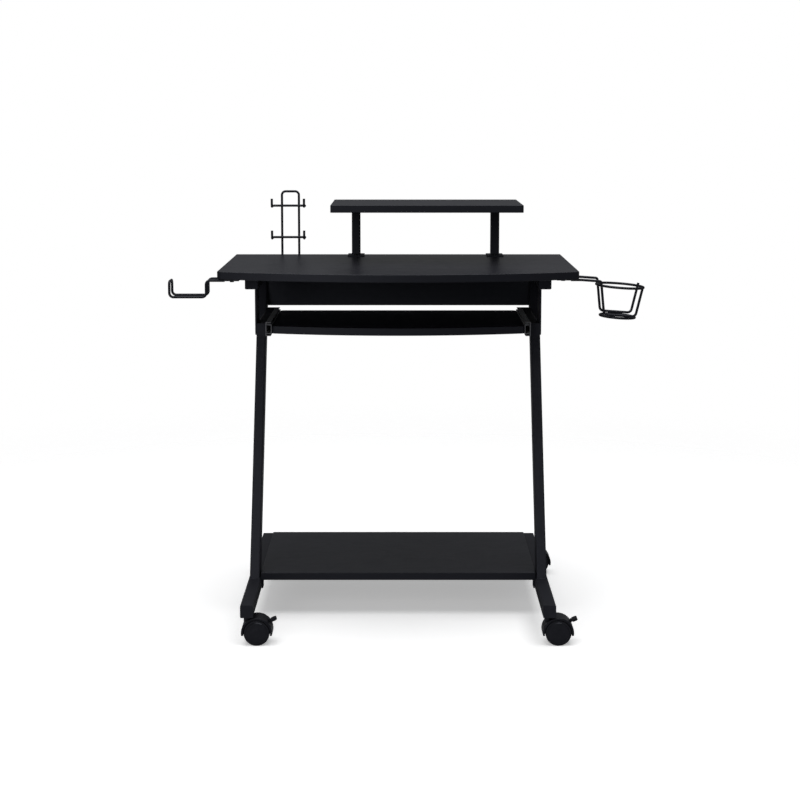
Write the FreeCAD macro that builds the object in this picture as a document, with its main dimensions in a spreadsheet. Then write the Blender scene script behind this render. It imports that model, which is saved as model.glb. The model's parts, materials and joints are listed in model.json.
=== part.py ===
import FreeCAD, Part
import math
import os
import Sketcher

# A computer desk: a bowed desktop with a raised monitor shelf, a keyboard tray on ball
# slides, a bottom shelf, two leaning steel side frames on four twin-wheel casters, and
# wire holders for a cup, a headset and game controllers.
#
# The desk is laid out with X to the user's right, Z up and Y running away from the user.
# X is 0 at the desktop's middle, Y is 0 at the desktop's rear edge and Z is 0 on the floor.
# A size named "rear" or "front" is a distance ahead of the desktop's rear edge.

SIZES = (
    # boards
    ("board_thick", 15),
    ("board_round", 1),
    ("top_width", 700),
    ("top_depth", 450),
    ("top_bow", 62),
    ("top_height", 713),
    ("top_corner", 12),
    # side frames of welded tube
    ("frame_spread", 290),
    ("tube_wall", 1.5),
    ("tube_round", 2.5),
    ("cap_thick", 2.5),
    ("cap_plug", 12),
    ("foot_wide", 25),
    ("foot_tall", 25),
    ("foot_front", 489),
    ("foot_behind", 53),
    ("leg_wide", 20),
    ("leg_deep", 43),
    ("leg_foot_front", 310),
    ("leg_top_front", 45),
    ("beam_wide", 25),
    ("beam_tall", 27),
    ("beam_front", 317),
    ("beam_rear", 3),
    # what carries the keyboard tray
    ("drop_thick", 3),
    ("drop_deep", 60),
    ("drop_corner", 8),
    ("arm_wide", 20),
    ("arm_tall", 24),
    ("arm_rear", 50),
    ("arm_below_slide", 4),
    ("slide_wide", 11.5),
    ("slide_tall", 27),
    ("slide_long", 250),
    ("slide_front", 346),
    ("slide_rise", 1),
    ("rail_thick", 1.2),
    ("ball_size", 3),
    ("ball_clear", 0.05),
    ("ball_count", 6),
    ("cage_thick", 0.8),
    ("cage_long", 150),
    ("cage_clear", 0.3),
    # keyboard tray
    ("tray_drop", 96),
    ("tray_rear", 90),
    ("tray_side_front", 346),
    ("tray_bow", 34),
    ("tray_corner", 8),
    # rear panel and bottom shelf
    ("panel_tall", 91),
    ("panel_rear", 29),
    ("shelf_height", 92.5),
    ("shelf_deep", 325),
    ("shelf_behind", 22),
    ("bracket_thick", 2.5),
    ("bracket_reach", 22),
    ("bracket_wide", 24),
    ("bracket_inset", 12),
    # monitor shelf
    ("riser_width", 390),
    ("riser_deep", 220),
    ("riser_height", 119),
    ("riser_offset", 58),
    ("riser_rear", 14),
    ("riser_corner", 4),
    ("post_wide", 18),
    ("post_deep", 30),
    ("post_spread", 148),
    ("plate_wide", 35),
    ("plate_deep", 52),
    ("plate_thick", 3),
    ("plate_rear", 10),
    # wire holders
    ("wire_size", 5),
    ("wire_bend", 8),
    ("tab_thick", 3),
    ("wire_tight_bend", 4),
    ("weld_gap", 0.05),
    ("rack_gap", 2.5),
    ("rack_left", 251),
    ("rack_gauge", 36.5),
    ("rack_rise", 138),
    ("rack_upper", 105),
    ("rack_lower", 37),
    ("rack_side", 16),
    ("rack_hook_reach", 40),
    ("rack_hook_rise", 17),
    ("rack_tab_wide", 58),
    ("rack_tab_rear", 8),
    ("rack_tab_deep", 18),
    ("rack_tab_screw", 18),
    ("hook_rear", 345),
    ("hook_gauge", 41),
    ("hook_start", 335),
    ("hook_drop_at", 371),
    ("hook_drop", 32),
    ("hook_reach", 442),
    ("hook_rise", 30),
    ("hook_tab_wide", 28),
    ("hook_tab_deep", 54),
    ("hook_tab_screw", 18),
    ("cup_start", 335),
    ("cup_middle", 435),
    ("cup_rear", 340),
    ("cup_ring", 92),
    ("cup_foot_ring", 68),
    ("cup_gauge", 64),
    ("cup_foot_strut", 30.5),
    ("cup_deep", 64),
    ("cup_droop", 4),
    ("cup_droop_start", 20),
    ("cup_ring_drop", 9),
    ("cup_tab_wide", 28),
    ("cup_tab_deep", 78),
    ("cup_tab_screw", 20),
    # casters
    ("hood_to_foot", 2),
    ("caster_trail", 18),
    ("caster_inset", 25),
    ("wheel_size", 50),
    ("wheel_wide", 12),
    ("wheel_rim", 4),
    ("wheel_edge", 0.8),
    ("wheel_step", 1),
    ("wheel_dome", 2.4),
    ("wheel_skin", 2.5),
    ("bore_end", 2),
    ("wheel_gap", 0.6),
    ("hub_size", 14),
    ("hub_flare", 3),
    ("hood_over_wheel", 5),
    ("hood_wide", 39),
    ("hood_skirt", 5),
    ("hood_wall", 3.8),
    ("hood_round", 1.2),
    ("hood_web", 12),
    ("boss_size", 16),
    ("boss_gap", 0.5),
    ("stem_size", 8),
    ("stem_sunk", 24),
    ("stem_up", 15),
    ("stem_nut", 13),
    ("stem_nut_tall", 6.5),
    ("axle_size", 6),
    ("axle_end_gap", 0.2),
    ("turn_clear", 0.05),
    ("lever_pivot_inset", 8.5),
    ("lever_pivot_angle", 48),
    ("lever_tilt", 22),
    ("lever_swing", 20),
    ("lever_long", 24.5),
    ("lever_thick", 5),
    ("lever_wide", 8),
    ("lever_pad_start", 14.5),
    ("lever_pad_wide", 16),
    ("lever_pin", 3),
    ("lever_slot_side", 0.2),
    ("lever_slot_gap", 1.3),
    # screws
    ("screw_size", 4),
    ("screw_hole", 4.6),
    ("screw_head", 8),
    ("screw_head_tall", 2.4),
    ("screw_bite", 10),
    ("socket_size", 2.6),
    ("socket_deep", 1.4),
    ("beam_screw_rear", 90),
    ("beam_screw_front", 230),
    ("plate_screw_inset", 6),
    ("rail_head", 7),
    ("rail_screw_bite", 8),
    ("rail_screw_front", 21),
    ("rail_screw_gap", 165),
    ("tray_screw_front", 60),
    ("tray_screw_gap", 130),
    ("bolt_size", 6),
    ("bolt_head", 11),
    ("bolt_head_tall", 3),
    ("bolt_bite", 22),
    ("bolt_low", 14),
    ("bolt_high", 58),
)

doc = FreeCAD.newDocument("ComputerDesk")
sheet = doc.addObject("Spreadsheet::Sheet", "Sizes")
for row, (alias, number) in enumerate(SIZES, start=1):
    sheet.set("A%d" % row, alias)
    sheet.set("B%d" % row, str(number))
    sheet.setAlias("B%d" % row, alias)
doc.recompute()

UP = FreeCAD.Vector(0, 0, 1)
DOWN = FreeCAD.Vector(0, 0, -1)
RIGHT = FreeCAD.Vector(1, 0, 0)
AHEAD = FreeCAD.Vector(0, -1, 0)
BACK = FreeCAD.Vector(0, 1, 0)

subparts = []


def size(alias):
    """A size from the sheet, as a number."""
    return float(getattr(sheet, alias))


def value(expression):
    """What an expression on the sheet's sizes comes to."""
    return float(sheet.evalExpression(expression))


def turn(axis, degrees):
    return FreeCAD.Rotation(axis, degrees)


def facing(direction):
    """The rotation that takes Z to a direction."""
    return FreeCAD.Rotation(UP, direction)


def keep(item, label, place=(0, 0, 0), rotation=None):
    """Name an object as a sub-part and put it in its place."""
    item.Label = label
    item.Placement = FreeCAD.Placement(FreeCAD.Vector(*place), rotation or FreeCAD.Rotation())
    subparts.append(item)
    return item


# ---- sketches and PartDesign features --------------------------------------------------

def new_body(name):
    return doc.addObject("PartDesign::Body", name)


def origin_of(body, role):
    """One of the body's own origin planes or axes."""
    for feature in body.Origin.OriginFeatures:
        if feature.Role == role:
            return feature
    raise ValueError(role)


def new_sketch(body, name, plane, offset="0"):
    """A sketch on an origin plane of the body, moved along the plane's normal."""
    sketch = body.newObject("Sketcher::SketchObject", name)
    sketch.AttachmentSupport = [(origin_of(body, plane), "")]
    sketch.MapMode = "FlatFace"
    sketch.AttachmentOffset = FreeCAD.Placement(FreeCAD.Vector(0, 0, value(offset)), FreeCAD.Rotation())
    sketch.setExpression("AttachmentOffset.Base.z", offset)
    return sketch


def pin_point(sketch, geometry, vertex, across, up):
    """Hold a point of a sketch at two distances from the origin, each an expression."""
    for kind, axis, expression in (("DistanceX", -2, across), ("DistanceY", -1, up)):
        distance = value(expression)
        if abs(distance) < 1e-9:
            sketch.addConstraint(Sketcher.Constraint("PointOnObject", geometry, vertex, axis))
            continue
        if distance > 0:
            ends = (-1, 1, geometry, vertex)
            bound = expression
        else:
            ends = (geometry, vertex, -1, 1)
            bound = "-(" + expression + ")"
        index = sketch.addConstraint(Sketcher.Constraint(kind, *ends, abs(distance)))
        name = "%s_%d_%d" % (kind, geometry, vertex)
        sketch.renameConstraint(index, name)
        sketch.setExpression("Constraints." + name, bound)


def draw_outline(sketch, corners):
    """A closed outline of straight lines through corners given as pairs of expressions."""
    points = [FreeCAD.Vector(value(across), value(up), 0) for across, up in corners]
    first = len(sketch.Geometry)
    count = len(points)
    for index in range(count):
        sketch.addGeometry(Part.LineSegment(points[index], points[(index + 1) % count]))
    for index in range(count):
        following = first + (index + 1) % count
        sketch.addConstraint(Sketcher.Constraint("Coincident", first + index, 2, following, 1))
    for index, (across, up) in enumerate(corners):
        pin_point(sketch, first + index, 1, across, up)


def draw_rectangle(sketch, low, high):
    """A rectangle between two opposite corners, each a pair of expressions."""
    (left, bottom), (right, top) = low, high
    draw_outline(sketch, ((left, bottom), (right, bottom), (right, top), (left, top)))


def draw_circle(sketch, across, up, diameter):
    """A circle whose centre and diameter are expressions."""
    centre = FreeCAD.Vector(value(across), value(up), 0)
    index = sketch.addGeometry(Part.Circle(centre, UP, value(diameter) / 2))
    pin_point(sketch, index, 3, across, up)
    number = sketch.addConstraint(Sketcher.Constraint("Diameter", index, value(diameter)))
    sketch.renameConstraint(number, "Diameter_%d" % index)
    sketch.setExpression("Constraints.Diameter_%d" % index, diameter)


def pad(body, sketch, length, symmetric=False, reverse=False):
    feature = body.newObject("PartDesign::Pad", sketch.Name + "_pad")
    feature.Profile = sketch
    feature.setExpression("Length", length)
    feature.SideType = "Symmetric" if symmetric else "One side"
    feature.Reversed = reverse
    body.Tip = feature
    doc.recompute()
    return feature


def pocket(body, sketch, length, symmetric=False, reverse=False):
    """Cut a sketch into the body, and make sure that it did cut."""
    before = body.Shape.Volume
    feature = body.newObject("PartDesign::Pocket", sketch.Name + "_pocket")
    feature.Profile = sketch
    feature.setExpression("Length", length)
    feature.SideType = "Symmetric" if symmetric else "One side"
    feature.Reversed = reverse
    body.Tip = feature
    doc.recompute()
    if body.Shape.Volume > before - 1e-3:
        raise ValueError("%s cuts nothing" % feature.Name)
    return feature


def soften(body, name, radius, chosen):
    """Fillet the edges of the body's tip that a test chooses."""
    base = body.Tip
    names = []
    for index, edge in enumerate(base.Shape.Edges, start=1):
        if chosen(edge):
            names.append("Edge%d" % index)
    feature = body.newObject("PartDesign::Fillet", name)
    feature.Base = (base, names)
    feature.setExpression("Radius", radius)
    body.Tip = feature
    doc.recompute()
    return feature


def along(edge, axis):
    """True for a straight edge that runs along an axis."""
    if not isinstance(edge.Curve, Part.Line):
        return False
    return abs(edge.Curve.Direction.dot(axis)) > 0.999


def drill(body, name, plane, offset, centres, diameter, depth, reverse=False, symmetric=False):
    """Round holes from a plane of the body, at centres given as pairs of expressions."""
    sketch = new_sketch(body, name, plane, offset)
    for across, up in centres:
        draw_circle(sketch, across, up, diameter)
    return pocket(body, sketch, depth, symmetric, reverse)


# ---- primitives, booleans and groups ---------------------------------------------------

def bound(kind, name, sizes, base=(0, 0, 0), rotation=None):
    """A Part primitive whose sizes are expressions."""
    item = doc.addObject("Part::" + kind, name)
    for prop, expression in sizes.items():
        item.setExpression(prop, expression)
    item.Placement = FreeCAD.Placement(FreeCAD.Vector(*base), rotation or FreeCAD.Rotation())
    return item


def cylinder(name, diameter, length, base, direction):
    sizes = {"Radius": "(" + diameter + ") / 2", "Height": length}
    return bound("Cylinder", name, sizes, base, facing(direction))


def block(name, length, width, height, base):
    return bound("Box", name, {"Length": length, "Width": width, "Height": height}, base)


def joined(name, items):
    item = doc.addObject("Part::MultiFuse", name)
    item.Shapes = items
    return item


def cut(name, base, tool):
    item = doc.addObject("Part::Cut", name)
    item.Base = base
    item.Tool = tool
    return item


def group(items, label):
    """Several like solids as one sub-part."""
    item = doc.addObject("Part::Compound", label)
    item.Links = items
    return keep(item, label)


def screw(name, place, direction, length, kind="screw"):
    """A round-headed screw with a hexagon socket: the head's seat is at place, and the
    shank runs from it along direction."""
    heads = {"screw": ("Sizes.screw_head", "Sizes.screw_head_tall", "Sizes.screw_size"),
             "rail": ("Sizes.rail_head", "Sizes.rail_thick", "Sizes.screw_size"),
             "bolt": ("Sizes.bolt_head", "Sizes.bolt_head_tall", "Sizes.bolt_size")}
    head_size, head_tall, shank_size = heads[kind]
    seat = FreeCAD.Vector(*place)
    outside = seat - direction * value(head_tall)
    head = cylinder(name + "_head", head_size, head_tall, outside, direction)
    shank = cylinder(name + "_shank", shank_size, length, seat, direction)
    whole = joined(name + "_blank", [head, shank])
    if kind == "rail":
        return whole
    sizes = {"Circumradius": "Sizes.socket_size", "Height": "Sizes.socket_deep"}
    socket = bound("Prism", name + "_socket", sizes, outside, facing(direction))
    return cut(name, whole, socket)


def wire_form(name, corners, bends):
    """A round wire bent to an arc at each corner of its route, one radius for each."""
    points = [FreeCAD.Vector(*corner) for corner in corners]
    edges = []
    start = points[0]
    for before, corner, after, bend in zip(points, points[1:], points[2:], bends):
        back = (before - corner).normalize()
        ahead = (after - corner).normalize()
        half = math.acos(max(-1.0, min(1.0, back.dot(ahead)))) / 2
        reach = bend / math.tan(half)
        enter = corner + back * reach
        leave = corner + ahead * reach
        middle = corner + (back + ahead).normalize() * (bend / math.sin(half) - bend)
        if (enter - start).Length > 1e-6:
            edges.append(Part.LineSegment(start, enter).toShape())
        edges.append(Part.Arc(enter, middle, leave).toShape())
        start = leave
    edges.append(Part.LineSegment(start, points[-1]).toShape())
    path = Part.Wire(edges)
    profile = Part.Wire(Part.Circle(points[0], points[1] - points[0], size("wire_size") / 2).toShape())
    item = doc.addObject("Part::Feature", name)
    item.Shape = path.makePipeShell([profile], True, False)
    return item


# ---- places that several pieces share --------------------------------------------------

HOOD_RADIUS = "(Sizes.wheel_size / 2 + Sizes.hood_over_wheel)"
CASTER_HEIGHT = "(Sizes.wheel_size / 2 + %s + Sizes.hood_to_foot)" % HOOD_RADIUS

top_under = size("top_height") - size("board_thick")
foot_bottom = value(CASTER_HEIGHT)
foot_top = foot_bottom + size("foot_tall")
beam_bottom = top_under - size("beam_tall")
tray_top = top_under - size("tray_drop")
tray_bottom = tray_top - size("board_thick")
slide_middle = tray_top - size("board_thick") / 2 + size("slide_rise")
arm_middle = slide_middle - size("arm_below_slide")
leg_inner = size("frame_spread") - size("leg_wide") / 2
arm_inner = leg_inner - size("arm_wide")
foot_inner = size("frame_spread") - size("foot_wide") / 2
shelf_bottom = size("shelf_height") - size("board_thick")
riser_bottom = size("top_height") + size("riser_height") - size("board_thick")

LEG_INNER = "(Sizes.frame_spread - Sizes.leg_wide / 2)"
ARM_INNER = "(%s - Sizes.arm_wide)" % LEG_INNER
TRAY_HALF = "(%s - Sizes.slide_wide)" % ARM_INNER
FOOT_INNER = "(Sizes.frame_spread - Sizes.foot_wide / 2)"
BEAM_INNER = "(Sizes.frame_spread - Sizes.beam_wide / 2)"
TOP_UNDER = "(Sizes.top_height - Sizes.board_thick)"
FOOT_TOP = "(%s + Sizes.foot_tall)" % CASTER_HEIGHT
BEAM_BOTTOM = "(%s - Sizes.beam_tall)" % TOP_UNDER
TRAY_MIDDLE = "(%s - Sizes.tray_drop - Sizes.board_thick / 2)" % TOP_UNDER
SLIDE_MIDDLE = "(%s + Sizes.slide_rise)" % TRAY_MIDDLE
ARM_MIDDLE = "(%s - Sizes.arm_below_slide)" % SLIDE_MIDDLE

sides = (("left", -1), ("right", 1))

# how far ahead of the desktop's rear edge the beam, rail and tray screws are
beam_screws = (size("beam_screw_rear"), size("beam_screw_front"))
rail_first = size("beam_front") - size("rail_screw_front")
rail_screws = (rail_first, rail_first - size("rail_screw_gap"))
tray_first = size("slide_front") - size("tray_screw_front")
tray_screws = (tray_first, tray_first - size("tray_screw_gap"))
cap_inset = size("cap_thick")


def signed(side, expression):
    """An expression for a distance to the left or right of the middle."""
    return expression if side > 0 else "-(" + expression + ")"


# where each accessory tab is screwed up into the desktop: middle of the tab, and its spacing
rack_middle = -(size("rack_left") - size("rack_gauge") / 2)
rack_tab_y = -(size("rack_tab_rear") + size("rack_tab_deep") / 2)
hook_tab_x = -(size("hook_start") - size("hook_tab_wide") / 2)
hook_middle = -(size("hook_rear") + size("hook_gauge") / 2)
cup_tab_x = size("cup_start") - size("cup_tab_wide") / 2
tabs = (
    ("rack", rack_middle, rack_tab_y, "rack_tab_wide", "rack_tab_deep", (size("rack_tab_screw"), 0)),
    ("hook", hook_tab_x, hook_middle, "hook_tab_wide", "hook_tab_deep", (0, size("hook_tab_screw"))),
    ("cup", cup_tab_x, -size("cup_rear"), "cup_tab_wide", "cup_tab_deep", (0, size("cup_tab_screw"))),
)


# ---- boards ----------------------------------------------------------------------------

def bowed_board(name, half_width, rear, side_front, bow, corner, rear_corner=None):
    """A board with a straight rear edge and a front edge bowed out as one arc. It is
    drawn from above, with its underside at Z = 0."""
    body = new_body(name)
    sketch = new_sketch(body, name + "_plan", "XY_Plane")
    half = value(half_width)
    back_y = -value(rear)
    side_y = -value(side_front)
    points = ((half, side_y), (half, back_y), (-half, back_y), (-half, side_y))
    vectors = [FreeCAD.Vector(across, up, 0) for across, up in points]
    for start, end in zip(vectors, vectors[1:]):
        sketch.addGeometry(Part.LineSegment(start, end))
    middle = FreeCAD.Vector(0, side_y - value(bow), 0)
    sketch.addGeometry(Part.Arc(vectors[3], middle, vectors[0]))
    for index in (0, 1):
        sketch.addConstraint(Sketcher.Constraint("Coincident", index, 2, index + 1, 1))
    sketch.addConstraint(Sketcher.Constraint("Coincident", 3, 1, 2, 2))
    sketch.addConstraint(Sketcher.Constraint("Coincident", 3, 2, 0, 1))
    pin_point(sketch, 0, 1, half_width, "-(" + side_front + ")")
    pin_point(sketch, 0, 2, half_width, "-(" + rear + ")")
    pin_point(sketch, 1, 2, "-(" + half_width + ")", "-(" + rear + ")")
    pin_point(sketch, 2, 2, "-(" + half_width + ")", "-(" + side_front + ")")
    radius = "((%s) ^ 2 + (%s) ^ 2) / (2 * (%s))" % (half_width, bow, bow)
    index = sketch.addConstraint(Sketcher.Constraint("Radius", 3, value(radius)))
    sketch.renameConstraint(index, "BowRadius")
    sketch.setExpression("Constraints.BowRadius", radius)
    pad(body, sketch, "Sizes.board_thick")
    soften(body, name + "_front_corners", corner,
           lambda edge: along(edge, UP) and edge.BoundBox.YMax < (back_y + side_y) / 2)
    if rear_corner:
        soften(body, name + "_rear_corners", rear_corner,
               lambda edge: along(edge, UP) and edge.BoundBox.YMin > back_y - 1)
    soften_faces(body, name)
    return body


def soften_faces(body, name):
    """Round the edges round a board's upper and lower faces."""
    thick = size("board_thick")

    def on_a_face(edge):
        box = edge.BoundBox
        return box.ZLength < 1e-4 and (box.ZMin < 1e-4 or box.ZMax > thick - 1e-4)

    soften(body, name + "_arris", "Sizes.board_round", on_a_face)


def plain_board(name, low, high, corner=None):
    """A rectangular board drawn from above, with its underside at Z = 0."""
    body = new_body(name)
    sketch = new_sketch(body, name + "_plan", "XY_Plane")
    draw_rectangle(sketch, low, high)
    pad(body, sketch, "Sizes.board_thick")
    if corner:
        soften(body, name + "_corners", corner, lambda edge: along(edge, UP))
    soften_faces(body, name)
    return body


desktop = bowed_board("desktop", "Sizes.top_width / 2", "0", "Sizes.top_depth - Sizes.top_bow",
                      "Sizes.top_bow", "Sizes.top_corner")
under_holes = []
for side_name, side in sides:
    for reach in beam_screws:
        under_holes.append((signed(side, "Sizes.frame_spread"), str(-reach)))
for tab_name, tab_x, tab_y, tab_wide, tab_deep, spacing in tabs:
    for end in (-1, 1):
        under_holes.append((repr(tab_x + end * spacing[0]), repr(tab_y + end * spacing[1])))
drill(desktop, "desktop_pilot_holes", "XY_Plane", "0", under_holes,
      "Sizes.screw_size", "Sizes.screw_bite", reverse=True)

plate_holes = []
for side_name, side in sides:
    across = "Sizes.riser_offset + " + signed(side, "Sizes.post_spread")
    for end in (-1, 1):
        up = "-(Sizes.plate_rear + Sizes.plate_deep / 2)"
        up += " + %d * (Sizes.plate_deep / 2 - Sizes.plate_screw_inset)" % end
        plate_holes.append((across, up))
drill(desktop, "desktop_riser_holes", "XY_Plane", "Sizes.board_thick", plate_holes,
      "Sizes.screw_size", "Sizes.screw_bite")
keep(desktop, "desktop", (0, 0, top_under))

monitor_shelf = plain_board(
    "monitor_shelf",
    ("Sizes.riser_offset - Sizes.riser_width / 2", "-(Sizes.riser_rear + Sizes.riser_deep)"),
    ("Sizes.riser_offset + Sizes.riser_width / 2", "-Sizes.riser_rear"),
    "Sizes.riser_corner")
drill(monitor_shelf, "monitor_shelf_pilot_holes", "XY_Plane", "0", plate_holes,
      "Sizes.screw_size", "Sizes.screw_bite", reverse=True)
keep(monitor_shelf, "monitor_shelf", (0, 0, riser_bottom))

keyboard_tray = bowed_board("keyboard_tray", TRAY_HALF, "Sizes.tray_rear", "Sizes.tray_side_front",
                            "Sizes.tray_bow", "Sizes.tray_corner", "Sizes.tray_corner")
tray_holes = []
for reach in tray_screws:
    tray_holes.append((repr(-reach), "Sizes.board_thick / 2"))
for side_name, side in sides:
    drill(keyboard_tray, "tray_%s_holes" % side_name, "YZ_Plane", signed(side, TRAY_HALF), tray_holes,
          "Sizes.screw_size", "Sizes.rail_screw_bite", reverse=side < 0)
keep(keyboard_tray, "keyboard_tray", (0, 0, tray_bottom))

bracket_ys = (-(size("shelf_deep") - size("shelf_behind") - size("bracket_inset") - size("bracket_wide")),
              size("shelf_behind") - size("bracket_inset"))
shelf_holes = []
for side_name, side in sides:
    for bracket_y in bracket_ys:
        across = signed(side, FOOT_INNER + " - Sizes.bracket_reach / 2")
        shelf_holes.append((across, repr(bracket_y - size("bracket_wide") / 2)))
bottom_shelf = plain_board("bottom_shelf",
                           ("-" + FOOT_INNER, "Sizes.shelf_behind - Sizes.shelf_deep"),
                           (FOOT_INNER, "Sizes.shelf_behind"))
drill(bottom_shelf, "bottom_shelf_pilot_holes", "XY_Plane", "0", shelf_holes,
      "Sizes.screw_size", "Sizes.screw_bite", reverse=True)
keep(bottom_shelf, "bottom_shelf", (0, 0, shelf_bottom))

back_panel = new_body("back_panel")
panel_sketch = new_sketch(back_panel, "back_panel_face", "XZ_Plane")
draw_outline(panel_sketch, (("-" + BEAM_INNER, "0"), ("-" + BEAM_INNER, "-Sizes.beam_tall"),
                            ("-" + LEG_INNER, "-Sizes.beam_tall"), ("-" + LEG_INNER, "-Sizes.panel_tall"),
                            (LEG_INNER, "-Sizes.panel_tall"), (LEG_INNER, "-Sizes.beam_tall"),
                            (BEAM_INNER, "-Sizes.beam_tall"), (BEAM_INNER, "0")))
pad(back_panel, panel_sketch, "Sizes.board_thick")
bolt_heights = ("Sizes.bolt_low - Sizes.panel_tall", "Sizes.bolt_high - Sizes.panel_tall")
for side_name, side in sides:
    drill(back_panel, "back_panel_%s_holes" % side_name, "YZ_Plane", signed(side, LEG_INNER),
          [("-Sizes.board_thick / 2", height) for height in bolt_heights],
          "Sizes.bolt_size", "Sizes.bolt_bite", reverse=side < 0)
keep(back_panel, "back_panel", (0, -size("panel_rear"), top_under))


# ---- side frames -----------------------------------------------------------------------

def square_tube(name, wide, tall, length):
    """A hollow tube along -Y from Y = 0, its section centred on X = 0 and Z = 0."""
    body = new_body(name)
    sketch = new_sketch(body, name + "_section", "XZ_Plane")
    draw_rectangle(sketch, ("-(%s) / 2" % wide, "-(%s) / 2" % tall), ("(%s) / 2" % wide, "(%s) / 2" % tall))
    inside = "((%s) / 2 - Sizes.tube_wall)"
    draw_rectangle(sketch, ("-" + inside % wide, "-" + inside % tall), (inside % wide, inside % tall))
    pad(body, sketch, length)
    outer = value(wide) / 2 - 1e-3
    soften(body, name + "_round", "Sizes.tube_round",
           lambda edge: along(edge, BACK) and abs(edge.BoundBox.XMax) > outer - 1e-3)
    return body


stem_ys = (-(size("foot_front") - size("caster_inset")), size("foot_behind") - size("caster_inset"))
foot_cap_y = size("foot_behind") - cap_inset
for side_name, side in sides:
    across = side * size("frame_spread")

    foot_length = "Sizes.foot_front + Sizes.foot_behind - 2 * Sizes.cap_thick"
    foot = square_tube("foot_" + side_name, "Sizes.foot_wide", "Sizes.foot_tall", foot_length)
    stem_holes = [("0", repr(stem_y - foot_cap_y)) for stem_y in stem_ys]
    drill(foot, "foot_%s_stem_holes" % side_name, "XY_Plane", "-Sizes.foot_tall / 2", stem_holes,
          "Sizes.stem_size", "Sizes.tube_wall", reverse=True)
    keep(foot, "foot_tube_" + side_name, (across, foot_cap_y, (foot_bottom + foot_top) / 2))

    leg = new_body("leg_" + side_name)
    leg_sketch = new_sketch(leg, "leg_%s_side" % side_name, "YZ_Plane")
    draw_outline(leg_sketch, (("-Sizes.leg_foot_front", FOOT_TOP),
                              ("Sizes.leg_deep - Sizes.leg_foot_front", FOOT_TOP),
                              ("Sizes.leg_deep - Sizes.leg_top_front", BEAM_BOTTOM),
                              ("-Sizes.leg_top_front", BEAM_BOTTOM)))
    pad(leg, leg_sketch, "Sizes.leg_wide", symmetric=True)
    soften(leg, "leg_%s_round" % side_name, "Sizes.tube_round",
           lambda edge: edge.BoundBox.ZLength > size("leg_deep") and edge.BoundBox.YLength > 1)
    bore_sketch = new_sketch(leg, "leg_%s_inside" % side_name, "YZ_Plane")
    draw_outline(bore_sketch, (("Sizes.tube_wall - Sizes.leg_foot_front", FOOT_TOP),
                               ("Sizes.leg_deep - Sizes.leg_foot_front - Sizes.tube_wall", FOOT_TOP),
                               ("Sizes.leg_deep - Sizes.leg_top_front - Sizes.tube_wall", BEAM_BOTTOM),
                               ("Sizes.tube_wall - Sizes.leg_top_front", BEAM_BOTTOM)))
    pocket(leg, bore_sketch, "Sizes.leg_wide - 2 * Sizes.tube_wall", symmetric=True)
    leg_holes = [("-(Sizes.panel_rear + Sizes.board_thick / 2)", TOP_UNDER + " + " + height)
                 for height in bolt_heights]
    drill(leg, "leg_%s_bolt_holes" % side_name, "YZ_Plane", "0", leg_holes,
          "Sizes.bolt_size", "Sizes.leg_wide", symmetric=True)
    keep(leg, "leg_tube_" + side_name, (across, 0, 0))

    beam_length = "Sizes.beam_front - Sizes.beam_rear - 2 * Sizes.cap_thick"
    beam_y = -(size("beam_rear") + cap_inset)
    beam = square_tube("beam_" + side_name, "Sizes.beam_wide", "Sizes.beam_tall", beam_length)
    beam_holes = [("0", repr(-reach - beam_y)) for reach in beam_screws]
    drill(beam, "beam_%s_screw_holes" % side_name, "XY_Plane", "0", beam_holes,
          "Sizes.screw_hole", "Sizes.beam_tall", symmetric=True)
    keep(beam, "top_beam_" + side_name, (across, beam_y, top_under - size("beam_tall") / 2))

    arm_length = "Sizes.beam_front - Sizes.arm_rear - 2 * Sizes.cap_thick"
    arm_y = -(size("arm_rear") + cap_inset)
    arm = square_tube("arm_" + side_name, "Sizes.arm_wide", "Sizes.arm_tall", arm_length)
    arm_holes = [(repr(-reach - arm_y), "Sizes.arm_below_slide") for reach in rail_screws]
    drill(arm, "arm_%s_screw_holes" % side_name, "YZ_Plane", signed(side, "-Sizes.arm_wide / 2"),
          arm_holes, "Sizes.screw_size", "Sizes.tube_wall", reverse=side > 0)
    arm_x = side * (leg_inner - size("arm_wide") / 2)
    keep(arm, "slide_arm_" + side_name, (arm_x, arm_y, arm_middle))

    plate = new_body("drop_" + side_name)
    plate_sketch = new_sketch(plate, "drop_%s_side" % side_name, "YZ_Plane")
    draw_rectangle(plate_sketch, ("-Sizes.beam_front", ARM_MIDDLE + " - Sizes.arm_tall / 2"),
                   ("Sizes.drop_deep - Sizes.beam_front", BEAM_BOTTOM))
    pad(plate, plate_sketch, "Sizes.drop_thick", reverse=side < 0)
    soften(plate, "drop_%s_corners" % side_name, "Sizes.drop_corner",
           lambda edge: along(edge, RIGHT) and edge.BoundBox.ZMax < beam_bottom - 1)
    keep(plate, "drop_plate_" + side_name, (side * leg_inner, 0, 0))


def tube_cap(name, wide, tall, x, y, z, outward):
    """A moulded plug in a tube's end: a flange as large as the tube, and a spigot."""
    depth = "Sizes.cap_thick"
    flange_y = y if outward > 0 else y - value(depth)
    flange = block(name + "_flange", wide, depth, tall,
                   (x - value(wide) / 2, flange_y, z - value(tall) / 2))
    rounded = doc.addObject("Part::Fillet", name + "_rounded")
    rounded.Base = flange
    doc.recompute()
    radius = size("tube_round")
    rounded.Edges = [(index, radius, radius) for index, edge in enumerate(flange.Shape.Edges, start=1)
                     if along(edge, BACK)]
    inside = "(%s) - 2 * Sizes.tube_wall"
    spigot_y = y - value("Sizes.cap_plug") if outward > 0 else y
    spigot = block(name + "_spigot", inside % wide, "Sizes.cap_plug", inside % tall,
                   (x - value(inside % wide) / 2, spigot_y, z - value(inside % tall) / 2))
    return joined(name, [rounded, spigot])


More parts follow.
